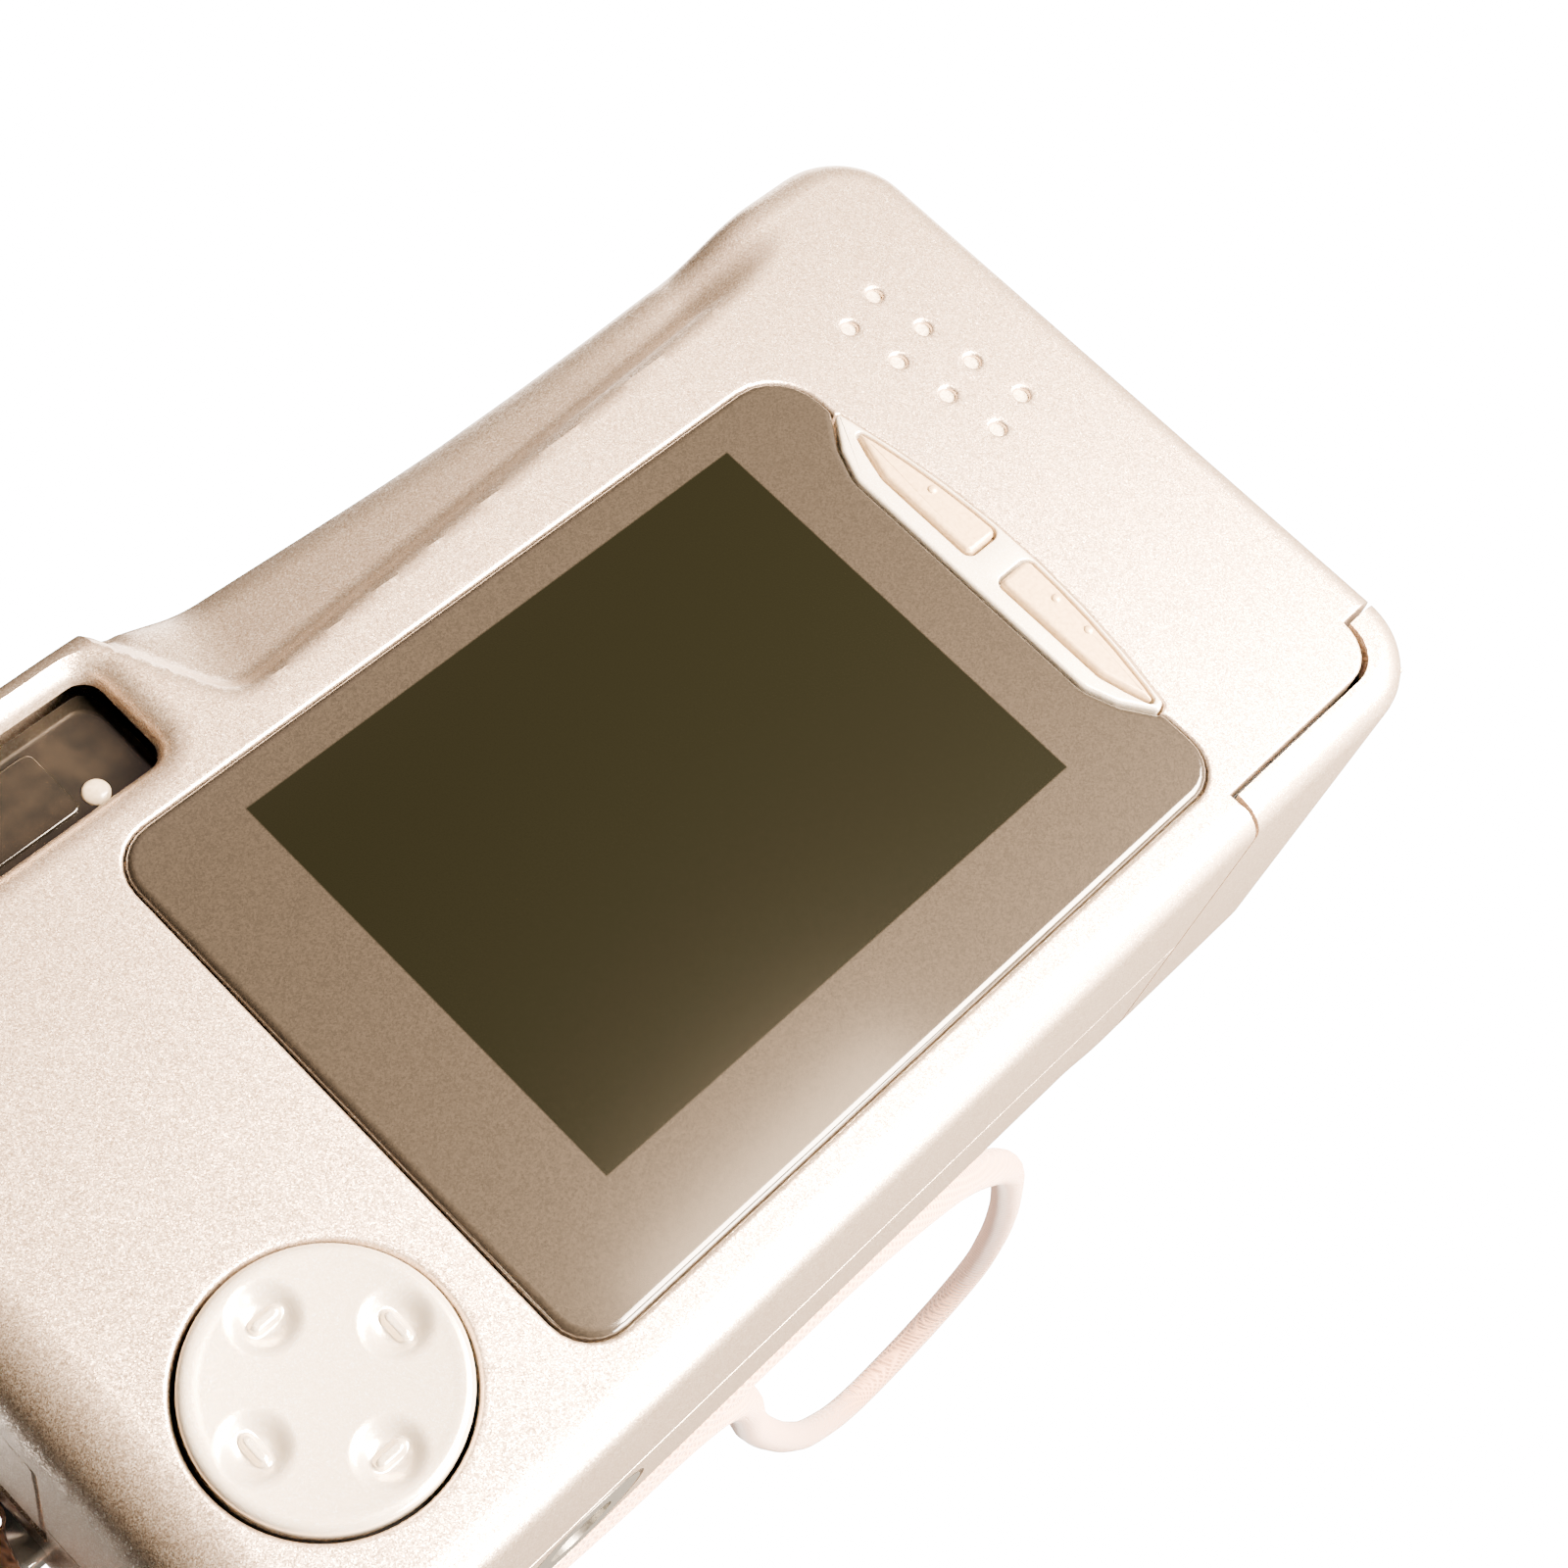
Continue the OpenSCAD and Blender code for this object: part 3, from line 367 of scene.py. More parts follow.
silver = metallic_paint("silver_lacquer_sprayed", "#b09a84", "#e3d0bc", "#fff4e6", 0.07, 0.92, 0.34, 0.2)
print("silver paint ready")

# %% [markdown]
# ## The two covers
#
# A cover is one closed skin: the flat face, a rounded edge whose radius differs from side to side,
# the wall down to the parting line, and the same shapes again one wall further in.


# %% Casing surface
W, TOP, HUMP = 50.0, 56.4, 1.6
Y_BACK, Y_FRONT, GRIP, SPLIT, WALL = -17.2, 15.8, 2.2, 1.0, 1.3
HALF, NX, NZ = 8, 150, 84  # stations on half a corner, and along the straight sides


def ease(t):
    """Smooth step from 0 to 1."""
    t = np.clip(t, 0, 1)
    return t * t * (3 - 2 * t)


def top_rise(x):
    """How much higher the top is than at the right end: it slopes gently up to the viewfinder."""
    return HUMP * ease((12.5 - x) / 32.5) ** 0.9


def around(left, right, bottom, top):
    """The casing's outline with each side moved inwards, and a number for each point telling its side.

    Corners are quarter ellipses about fixed centres. Points run counter-clockwise from mid-corner at
    the lower left. The weights give each point its share of the four sides."""
    rl, rr = 7.0, 6.0
    quarter = np.linspace(0, math.pi / 2, 2 * HALF + 1)
    c, s = np.cos(quarter), np.sin(quarter)
    top_l, top_r = TOP + top_rise(-W + rl), TOP

    def corner(cx, cz, rx, rz, ax, az, wx, wz):
        pts = np.stack([cx + ax * rx, cz + az * rz], -1)
        w = np.zeros((len(pts), 4))
        w[:, wx], w[:, wz] = ax**2, az**2
        return pts, w

    def side(x0, z0, x1, z1, n, k, sloped=False):
        t = np.linspace(0, 1, n + 2)[1:-1]
        pts = np.stack([x0 + (x1 - x0) * t, z0 + (z1 - z0) * t], -1)
        if sloped:
            pts[:, 1] = TOP + top_rise(pts[:, 0]) - top
        w = np.zeros((n, 4))
        w[:, k] = 1
        return pts, w

    bl = corner(-W + rl, rl, rl - left, rl - bottom, -c, -s, 0, 2)
    br = corner(W - rr, rr, rr - right, rr - bottom, s, -c, 1, 2)
    tr = corner(W - rr, top_r - rr, rr - right, rr - top, c, s, 1, 3)
    tl = corner(-W + rl, top_l - rl, rl - left, rl - top, -s, c, 0, 3)
    bottom_side = side(-W + rl, bottom, W - rr, bottom, NX, 2)
    right_side = side(W - right, rr, W - right, top_r - rr, NZ, 1)
    top_side = side(W - rr, 0, -W + rl, 0, NX, 3, True)
    left_side = side(-W + left, top_l - rl, -W + left, rl, NZ, 0)
    parts = [(bl[0][HALF:], bl[1][HALF:]), bottom_side, br, right_side, tr, top_side, tl, left_side,
             (bl[0][:HALF], bl[1][:HALF])]
    return np.concatenate([p[0] for p in parts]), np.concatenate([p[1] for p in parts])


def fill_face(edge):
    """A grid over the inside of a closed edge: the sum of the two ruled surfaces less the corners' own."""
    n, m = NX + 2 * HALF + 2, NZ + 2 * HALF + 2
    b = edge[:n]
    r = edge[n - 1 : n + m - 1]
    t = edge[n + m - 2 : 2 * n + m - 2][::-1]
    left = np.concatenate([edge[2 * n + m - 3 :], edge[:1]])[::-1]
    u = np.linspace(0, 1, n)[None, :, None]
    v = np.linspace(0, 1, m)[:, None, None]
    ruled = (1 - v) * b[None] + v * t[None] + (1 - u) * left[:, None] + u * r[:, None]
    corners = (1 - u) * (1 - v) * b[0] + u * (1 - v) * b[-1] + (1 - u) * v * t[0] + u * v * t[-1]
    return ruled - corners


def half_casing(name, face_y, toward, radii, relief, seam=0.12, end_y=SPLIT):
    """One cover as a closed skin.

    toward is +1 if the wall runs the way of +Y from the face. radii are the edge radii left, right,
    bottom and top. relief(x, z) is how far the face lies from face_y, measured into the casing."""
    outer, w = around(0, 0, 0, 0)
    inner_edge, _ = around(*radii)
    r_local = w @ np.array(radii)
    grid = fill_face(inner_edge)
    base = relief(inner_edge[:, 0], inner_edge[:, 1])
    rings = []
    step = (outer - inner_edge) / np.linalg.norm(outer - inner_edge, axis=1)[:, None] * 0.1
    before = inner_edge - step
    lean = (base - relief(before[:, 0], before[:, 1])) / 0.1
    for a in np.linspace(0, math.pi / 2, 9)[1:]:
        xz = inner_edge + (outer - inner_edge) * math.sin(a)
        drop = 1 - math.cos(a) + lean * math.sin(a) * math.cos(a)
        rings.append((xz, face_y + toward * (base + r_local * drop)))
    start = rings[-1][1]
    stop = end_y - toward * seam
    for t in (0.3, 0.65, 1.0):
        rings.append((outer, start + (stop - start) * t))
    skin, _ = around(seam, seam, seam, seam)
    rings.append((skin, np.full(len(outer), end_y)))
    lining, _ = around(WALL, WALL, WALL, WALL)
    rings.append((lining, np.full(len(outer), end_y)))
    deep_edge, _ = around(*(max(r, 2.2) for r in radii))
    back = fill_face(deep_edge)
    floor = relief(deep_edge[:, 0], deep_edge[:, 1]) + 1.9
    rings.append((lining, face_y + toward * (floor + 1.2)))
    rings.append((deep_edge, face_y + toward * floor))

    def surface(g, extra):
        y = face_y + toward * (relief(g[..., 0], g[..., 1]) + extra)
        return np.stack([g[..., 0], y, g[..., 1]], -1)

    n, m = grid.shape[1], grid.shape[0]
    loop = np.concatenate([np.arange(n), n - 1 + n * np.arange(1, m), (m - 1) * n + np.arange(n - 2, -1, -1),
                           n * np.arange(m - 2, 0, -1)])
    face_pts = surface(grid, 0).reshape(-1, 3)
    ring_pts = [np.stack([xz[:, 0], y, xz[:, 1]], -1) for xz, y in rings[:-1]]
    back_pts = surface(back, 1.9).reshape(-1, 3)
    points = np.concatenate([face_pts, *ring_pts, back_pts])
    flip = toward < 0
    faces = grid_faces(m, n, flip=flip)
    k = len(loop)
    ids = [loop] + [len(face_pts) + i * k + np.arange(k) for i in range(len(ring_pts))]
    ids.append(len(face_pts) + len(ring_pts) * k + loop)
    for a, b in zip(ids[:-1], ids[1:]):
        quad = np.stack([a, b, np.roll(b, -1), np.roll(a, -1)], -1)
        faces += (quad[:, ::-1] if flip else quad).tolist()
    inside = grid_faces(m, n, start=len(face_pts) + len(ring_pts) * k, flip=not flip)
    faces += inside
    return link_mesh(name, points, faces)


def ramp(t, width):
    """A slope of 1 that starts at 0 and is rounded over about the given width."""
    return (t + np.hypot(t, width)) / 2


def smooth_min(a, b, near):
    """The smaller of two values, blended over a range where they are close."""
    h = np.clip(0.5 + 0.5 * (b - a) / near, 0, 1)
    return b * (1 - h) + a * h - near * h * (1 - h)


def shelf(x, z):
    """Depth of the thumb shelf: a scoop with rounded ends and a steep lip, deeper towards the top edge.

    Its left end leans over to the left and is steep; its right end runs out gently."""
    from_left = 1.1 * (x - (-14.6 - 0.5 * (z - 50.7)))
    from_ridge = z - (48.1 + 0.07 * x)
    from_right = 0.3 * (40.0 - x)
    inside = smooth_min(smooth_min(from_left, from_ridge, 2.0), from_right, 2.2)
    return 2.2 * ease(inside / 2.5) + 0.45 * ramp(inside - 2.3, 0.8) * ease(inside / 2.5)


def grip(x, z):
    """How far the front face stands out over the batteries, as a negative depth."""
    return -GRIP * ease((x - 22.5) / 6.0)


back_skin = half_casing("back_cover_skin", Y_BACK, 1, (4.5, 2.0, 2.2, 2.6), shelf)
front_skin = half_casing("front_cover_skin", Y_FRONT, -1, (4.0, 4.0, 3.0, 4.0), grip)
print("covers:", len(back_skin.data.polygons), len(front_skin.data.polygons), "faces")


# %% [markdown]
# ## Openings with rounded lips
#
# Each opening is cut by a closed shape whose sides flare outwards in a quarter of a circle where it
# meets the surface, so the lip that is left is rounded.


# %% Cutting shapes
def flared(name, outline, surface_y, depth, lip, toward=1, draft=0.0):
    """A cutting shape: straight sides up to a lip's radius below the surface, then a quarter circle out."""
    a = np.linspace(0, math.pi / 2, 6)
    profile = [(draft, surface_y + toward * depth)]
    profile += [(-lip * (1 - math.cos(t)), surface_y + toward * lip * (1 - math.sin(t))) for t in a]
    profile += [(-lip - 0.02, surface_y - toward * 1.2)]
    return lofted(name, outline, profile)


def polygon_outline(corners, radii, per_corner=7):
    """A function of the inset that gives a polygon with rounded corners, counter-clockwise.

    Its sides move inwards by the inset; each corner is then an arc between its two sides."""
    v = np.asarray(corners, float)
    n = len(v)

    def outline(inset):
        d = np.roll(v, -1, 0) - v
        d /= np.linalg.norm(d, axis=1)[:, None]
        inward = np.stack([-d[:, 1], d[:, 0]], -1)
        out = []
        for i in range(n):
            a, b = i - 1, i
            cross = d[a, 0] * d[b, 1] - d[a, 1] * d[b, 0]
            half_turn = math.asin(max(-1, min(1, cross))) / 2
            if d[a] @ d[b] < 0:
                half_turn = math.copysign(math.pi / 2, cross) - half_turn
            bisect = inward[a] + inward[b]
            bisect /= np.linalg.norm(bisect)
            corner = v[i] + bisect * inset / math.cos(half_turn)
            r = max(radii[i] - inset, 0.02) if cross > 0 else radii[i] + inset
            centre = corner + math.copysign(1, cross) * bisect * r / math.cos(half_turn)
            a0 = math.atan2(*(-inward[a] * math.copysign(1, cross))[::-1])
            a = a0 + np.linspace(0, 2 * half_turn, per_corner)
            out.append(centre + r * np.stack([np.cos(a), np.sin(a)], -1))
        return np.concatenate(out)

    return outline


def joined(name, parts):
    """One object from several, keeping the first one's name."""
    points, faces, base = [], [], 0
    for o in parts:
        m = o.data
        co = np.empty(len(m.vertices) * 3)
        m.vertices.foreach_get("co", co)
        points.append(co.reshape(-1, 3) / MM - SHIFT)
        faces += [[base + k for k in p.vertices] for p in m.polygons]
        base += len(m.vertices)
        bpy.data.objects.remove(o, do_unlink=True)
    return link_mesh(name, np.concatenate(points), faces)


def boolean(obj, other, operation="DIFFERENCE", keep_other=False, solver="MANIFOLD"):
    """Cuts or crosses one closed skin with another, and keeps the result as plain faces."""
    cut = obj.modifiers.new("cut", "BOOLEAN")
    cut.operation, cut.object, cut.solver = operation, other, solver
    bpy.context.view_layer.update()
    done = bpy.data.meshes.new_from_object(obj.evaluated_get(bpy.context.evaluated_depsgraph_get()))
    obj.modifiers.clear()
    obj.data = done
    if not keep_other:
        bpy.data.objects.remove(other, do_unlink=True)
    return obj


def crisp(obj, degrees=32):
    """Smooth faces with edges left sharp where two faces meet at more than the given angle."""
    obj.data.polygons.foreach_set("use_smooth", np.ones(len(obj.data.polygons), bool))
    obj.data.set_sharp_from_angle(angle=math.radians(degrees))
    return obj


def box_piece(name, lo, hi, r=0.0, axis="y"):
    """A block with slightly rounded edges between two corners."""
    order = {"y": (0, 2, 1), "z": (0, 1, 2), "x": (1, 2, 0)}[axis]
    u, v, w = order
    flat = round_pad((lo[u] + hi[u]) / 2, (lo[v] + hi[v]) / 2, hi[u] - lo[u], hi[v] - lo[v], max(r, 0.02),
                     per_corner=5)
    return lofted(name, flat, rounded_profile(lo[w], hi[w], max(r, 0.02), max(r, 0.02), 4), axis)


# %% Outlines of the parts of the back
window_line = polygon_outline(
    [(-25.75, 4.2), (31.05, 4.2), (31.05, 9.5), (29.2, 11.9), (28.2, 14.3), (28.2, 34.8), (29.2, 37.2),
     (31.05, 39.6), (31.05, 44.6), (-25.75, 44.6)],
    [3, 3, 0.8, 1.5, 2.5, 2.5, 1.5, 0.8, 4, 3])
ARC_X, ARC_Z, ARC_R = -26.8, 23.9, 60.0


def arc_points(radius, z0, z1, n=6):
    """Points up an arc about the keys' centre."""
    z = np.linspace(z0, z1, n)
    return [(ARC_X + math.sqrt(radius**2 - (q - ARC_Z) ** 2), q) for q in z]


def soft(count, ends):
    """Corner radii: the ends' own, and a large one at each point of an arc."""
    return ends[0] + [6.0] * (count - 2) + ends[1]


trim_arc = arc_points(ARC_R, 10.2, 39.0, 8)
trim_line = polygon_outline(
    [(28.3, 34.7), (28.3, 14.4), (29.2, 12.2), (31.0, 9.9)] + trim_arc + [(31.0, 39.3), (29.2, 36.9)],
    [2.4, 2.4, 1.4, 0.3] + soft(8, ([0.3], [0.3])) + [0.3, 1.4])
mode_arc = arc_points(ARC_R - 0.55, 25.9, 36.0, 5)
mode_line = polygon_outline([(29.85, 25.9)] + mode_arc + [(31.05, 37.3), (30.4, 35.5), (29.85, 33.6)],
                            [0.5] + soft(5, ([0.5], [3.0])) + [0.12, 1.5, 1.5])
set_arc = arc_points(ARC_R - 0.55, 11.7, 23.2, 5)
set_line = polygon_outline([(29.85, 23.2), (29.85, 14.2), (30.4, 12.3), (31.05, 10.5)] + set_arc,
                           [0.5, 1.5, 1.5, 0.12] + soft(5, ([3.0], [0.5])))
print("outlines ready:", len(window_line(0)), "points round the window")

# %% Battery door outline
def door_line(grow):
    """The door seen from the back: a straight seam over a foot that curves up at the right wall."""
    a = np.linspace(0, math.pi / 2, 8)
    rise = [(43.6 + 3.0 * math.sin(t), 2.55 + 3.2 * (1 - math.cos(t))) for t in a]
    pts = [(30.4 - grow, -2), (52, -2), (52, 5.8 + grow)]
    pts += [(x - grow * 0.7, z + grow) for x, z in rise[::-1]]
    pts += [(30.4 - grow, 2.55 + grow)]
    return np.array(pts)


def straight(points):
    """A function of the inset that ignores it."""
    return lambda inset: points


door_cut_back = flared("door_cut_back", lambda i: door_line(0.36 - i), Y_BACK, SPLIT + 3 - Y_BACK, 0.2)
door_cut_front = flared("door_cut_front", lambda i: door_line(0.36 - i), Y_FRONT + GRIP, 20, 0.2, -1)

# %% Cuts in the back cover
def hole_grid(cx, cz, row, column, nx, nz):
    """Centres of a grid of holes, stepped along two directions."""
    i, j = np.meshgrid(np.arange(nx) - (nx - 1) / 2, np.arange(nz) - (nz - 1) / 2, indexing="ij")
    return np.array([cx, cz]) + i.reshape(-1, 1) * np.array(row) + j.reshape(-1, 1) * np.array(column)


sound = hole_grid(40.0, 38.1, (3.45, 0.85), (0.68, -4.04), 2, 4)
sound_cut = joined("sound_cut", [flared(f"s{n}", round_disc(x, z, 0.55, 24), Y_BACK, 4, 0.28)
                                 for n, (x, z) in enumerate(sound)])
button_cut = lofted("button_cut", round_disc(22.0, 0.0, 6.65, 96), [(0, 50), (0, 60)], "z")
power_cut = lofted("power_cut", round_disc(6.0, 0.0, 3.02, 64),
                   [(0, 50), (0, 55.6), (-0.35, 56.9), (-0.4, 60)], "z")
cover_cut = box_piece("cover_cut", (-52, -10.75, 20.75), (-48.6, 4.7, 49.25), 0.4, "x")
back_cuts = [
    flared("finder_cut", round_pad(-25.7, 51.65, 15.0, 7.5, 1.5, per_corner=8), Y_BACK, 5.2, 1.9, draft=0.25),
    flared("disc_cut", round_disc(-37.0, 12.7, 8.15, 96), Y_BACK, 6, 0.35),
    flared("window_cut", lambda i: window_line(i - 0.12), Y_BACK, 1.1, 0.25),
    flared("trim_cut", lambda i: trim_line(i - 0.2), Y_BACK, 1.3, 0.15),
    sound_cut, door_cut_back,
]
for cut in back_cuts:
    boolean(back_skin, cut)
for cut in (button_cut, power_cut, cover_cut):
    boolean(back_skin, cut, keep_other=True)

# %% Cuts in the front cover
LENS_X, LENS_Z = -16.0, 27.0
flash_line = round_pad(16.5, 48.0, 17.0, 7.0, 1.5)
finder_line = round_pad(-25.7, 51.2, 12.0, 6.4, 1.2)
front_cuts = [
    flared("ring_cut", round_disc(LENS_X, LENS_Z, 17.1, 128), Y_FRONT, 6, 0.3, -1),
    flared("flash_cut", flash_line, Y_FRONT, 6, 0.3, -1),
    flared("finder_front_cut", finder_line, Y_FRONT, 6, 0.3, -1),
    flared("timer_cut", round_disc(3.6, 48.0, 1.6, 40), Y_FRONT, 6, 0.3, -1),
    flared("mic_cut", round_disc(12.0, 40.0, 0.6, 24), Y_FRONT, 6, 0.25, -1),
    lofted("tripod_cut", round_disc(-26.0, 7.5, 5.05, 64), [(-0.3, -2), (-0.3, 0.05), (0, 0.4), (0, 3)], "z"),
    door_cut_front,
]
for cut in front_cuts:
    boolean(front_skin, cut)
for cut in (button_cut, power_cut, cover_cut):
    boolean(front_skin, cut)
for skin in (back_skin, front_skin):
    crisp(skin)
    put_on(skin, silver)
    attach(skin, "casing")
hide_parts("back_cover")
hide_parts("front_cover")
print("covers cut:", len(back_skin.data.polygons), len(front_skin.data.polygons), "faces")


# %% [markdown]
# ## Battery door
#
# The door is the casing's own foot: the whole closed form, crossed with the door's outline, then
# hollowed where the batteries stand.

# %% Door
foot_back = half_casing("battery_door_skin", Y_BACK, 1, (4.5, 2.0, 2.2, 2.6), shelf, 0.0, SPLIT)
foot_front = half_casing("foot_front", Y_FRONT, -1, (4.0, 4.0, 3.0, 4.0), grip, 0.0, SPLIT)
keep = lofted("door_keep", straight(door_line(0.0)), [(0, -20), (0, 20)])
boolean(foot_back, keep, "INTERSECT", True)
boolean(foot_front, keep, "INTERSECT")
floor_plate = box_piece("door_floor", (30.6, -15.6, 1.25), (48.0, 15.6, 2.5), 0.15, "z")
door_skin = crisp(joined("battery_door_skin", [foot_back, foot_front]))
print("door:", len(door_skin.data.polygons), "faces")

# %% [markdown]
# ## Window, keys and trim

# %% Window
window = lofted("display_window_pane", window_line, rounded_profile(-17.5, -16.15, 0.55, 0.05, 7))
trim = lofted("key_trim_plate", trim_line, rounded_profile(-17.52, -16.4, 0.25, 0.05, 5))
for key_line in (mode_line, set_line):
    boolean(trim, flared("key_cut", lambda i, k=key_line: k(i - 0.24), -17.52, 3, 0.12))
crisp(trim)


def key_with_dots(name, line, dots):
    """A key with a crowned edge and small round dots that a thumb can feel."""
    parts = [lofted(name, line, rounded_profile(-17.72, -16.35, 0.35, 0.05, 6))]
    for x, z in dots:
        a = np.linspace(0, math.pi / 2, 6)
        profile = [(0.35 * (1 - math.sin(t)), -17.72 - 0.16 + 0.2 * (1 - math.cos(t))) for t in a]
        parts.append(lofted("dot", round_disc(x, z, 0.36, 20), profile))
    return joined(name, parts)


mode_key = key_with_dots("mode_key_cap", mode_line, [(31.6, 30.9)])
set_key = key_with_dots("set_key_cap", set_line, [(31.8, 19.9), (31.7, 16.9)])

# %% [markdown]
# ## Four-way disc
#
# The face is a shallow dish. Four dimples are sunk in it where the thumb presses, each with a short
# raised bar.


# %% Disc
def disc_height(x, z):
    """Depth of the disc's face below its rim, from a dish, four round dimples and the bars in them."""
    r = np.hypot(x, z)
    depth = 0.32 * (1 - (r / 7.4) ** 2) * ease((7.5 - r) / 0.9)
    for k in range(4):
        a = math.pi / 2 * k
        out, along = x * math.cos(a) + z * math.sin(a) - 4.95, -x * math.sin(a) + z * math.cos(a)
        depth = depth + 0.7 * ease((2.2 - np.hypot(out, along)) / 1.5)
        bar = np.hypot(out, np.maximum(np.abs(along) - 0.6, 0))
        depth = depth - 0.5 * ease((0.55 - bar) / 0.35)
    return depth


def disc_cap(name, cx, cz, radius, top, rings, spokes):
    """The disc as a polar grid, with a rounded rim, a side wall and a flat underside."""
    r = np.linspace(0.03, radius - 0.55, rings)
    a = np.linspace(0, 2 * math.pi, spokes, endpoint=False)
    x, z = r[:, None] * np.cos(a), r[:, None] * np.sin(a)
    rows = [np.stack([cx + x, top + disc_height(x, z), cz + z], -1)]
    edge = np.linspace(0, math.pi / 2, 8)[1:]
    rim = [(radius - 0.55 + 0.55 * math.sin(t), top + 0.55 * (1 - math.cos(t))) for t in edge]
    rim += [(radius, top + 1.5), (radius - 0.6, top + 2.0), (2.0, top + 2.0)]
    for rr, y in rim:
        rows.append(np.stack([cx + rr * np.cos(a), np.full(spokes, y), cz + rr * np.sin(a)], -1)[None])
    points = np.concatenate(rows).reshape(-1, 3)
    n = len(points) // spokes
    faces = grid_faces(n, spokes, True)
    faces.append(list(range(spokes))[::-1])
    faces.append(list(range((n - 1) * spokes, n * spokes)))
    return link_mesh(name, points, faces)


disc = disc_cap("four_way_disc", -37.0, 12.7, 7.9, -18.0, 110, 192)
well = lathe("disc_well", -37.0, 12.7, [(0.5, -14.9), (8.6, -14.9), (8.6, -14.2), (0.5, -14.2)], 64)

# %% Viewfinder eyepiece
plate = lofted("eyepiece_floor", round_pad(-25.7, 51.65, 15.2, 7.7, 1.4),
               rounded_profile(-13.75, -12.6, 0.05, 0.05, 3))
eye_pane = lofted("eyepiece_lens", round_pad(-27.6, 51.65, 8.0, 5.0, 0.6),
                  rounded_profile(-13.95, -13.0, 0.15, 0.05, 4))
a = np.linspace(0, math.pi / 2, 8)
lamp_profile = [(0.9 * (1 - math.sin(t)) + 0.001, -14.15 + 0.45 * (1 - math.cos(t))) for t in a]
lamp = lofted("status_lamp", round_disc(-22.3, 49.55, 0.9, 32), lamp_profile + [(0, -13.2)])
speaker = lofted("speaker_face", round_disc(40.0, 38.2, 7.2, 48), rounded_profile(-16.85, -13.9, 0.1, 0.1, 3))
print("back pieces made")

# %% [markdown]
# ## Front: lens ring, barrier, flash, windows

# %% Lens ring and barrier
ring_profile = [(15.4, 16.3), (15.4, 14.6), (17.0, 14.6), (17.0, 17.1)]
ring_profile += [(16.2 + 0.8 * math.cos(t), 17.1 + 0.8 * math.sin(t))
                 for t in np.linspace(0.2, math.pi / 2, 7)]
grooves = np.arange(15.4, 10.4, -0.7)
for g in grooves:
    ring_profile += [(g, 17.9), (g - 0.12, 17.72), (g - 0.35, 17.72), (g - 0.47, 17.9)]
ring_profile += [(9.6, 17.9), (9.2, 17.75), (6.7, 16.8), (6.5, 16.6), (6.5, 16.3)]
lens_ring = lathe("lens_ring_turned", LENS_X, LENS_Z, ring_profile, 128)
crisp(lens_ring, 25)


def blade_line(s):
    """Outline of one barrier blade about the lens axis: a half disc with an ear over its pivot."""
    t = np.linspace(0, math.pi, 28)
    arc = np.stack([7.0 * np.cos(t), 0.15 + 6.85 * np.sin(t)], -1)
    ear = np.array([[-8.2, 3.4], [-10.5, 3.4], [-12.2, 2.6], [-12.4, 1.2], [-11.4, 0.15]])
    pts = np.concatenate([arc[:-6], ear])
    return pts * s


blade_profile = rounded_profile(15.02, 15.58, 0.0, 0.0, 2)
upper = lofted("barrier_upper", straight(blade_line(1) + [LENS_X, LENS_Z]), blade_profile)
lower = lofted("barrier_lower", straight(blade_line(-1) + [LENS_X, LENS_Z]), blade_profile)
for blade in (upper, lower):
    crisp(blade)

# %% Flash, windows and lamp
flash = lofted("flash_lens", lambda i: flash_line(i + 0.1), rounded_profile(15.75, 14.6, 0.35, 0.05, 5))
ribs = joined("flash_ribs", [box_piece("rib", (8.6 + k * 0.8, 14.1, 45.0), (9.0 + k * 0.8, 14.4, 51.0), 0.05)
                             for k in range(20)])
finder_pane = lofted("finder_pane", lambda i: finder_line(i + 0.1), rounded_profile(15.5, 14.5, 0.3, 0.05, 5))
timer = lofted("timer_lamp_lens", round_disc(3.6, 48.0, 1.5, 40),
               [(1.5 * (1 - math.sin(t)) + 0.001, 15.95 - 0.5 * (1 - math.cos(t))) for t in a] + [(0, 14.0)])

# %% [markdown]
# ## Top: shutter button, its ring and the power button

# %% Buttons
def turned_z(name, cx, cy, steps, count=72):
    """A solid turned about an upright axis from (radius, height) steps, from low to high."""
    return lofted(name, round_disc(cx, cy, steps[0][0], count), [(steps[0][0] - r, h) for r, h in steps], "z")


shutter_ring = lofted("shutter_collar", round_disc(22.0, 0.0, 6.6, 96),
                      [(0, 55.3), (0, 56.7), (0.12, 57.0), (0.4, 57.2), (1.3, 57.2), (1.55, 57.05),
                       (1.6, 56.8), (1.6, 55.6)],
                      "z", (True, True))
dome = np.linspace(0, math.pi / 2, 9)
shutter = turned_z("shutter_cap", 22.0, 0.0,
                   [(4.9, 56.6), (4.9, 57.2)]
                   + [(4.9 - 0.6 + 0.6 * math.cos(t), 57.2 + 0.55 * math.sin(t)) for t in dome[1:]]
                   + [(3.6, 57.72), (1.0, 57.62), (0.05, 57.6)])
power = turned_z("power_cap", 6.0, 0.0,
                 [(2.9, 55.7), (2.9, 57.15)]
                 + [(2.9 - 0.35 + 0.35 * math.cos(t), 57.15 + 0.3 * math.sin(t)) for t in dome[1:]]
                 + [(1.8, 57.43), (0.05, 57.36)])
print("top pieces made")

# %% [markdown]
# ## Left wall: lug and side cover

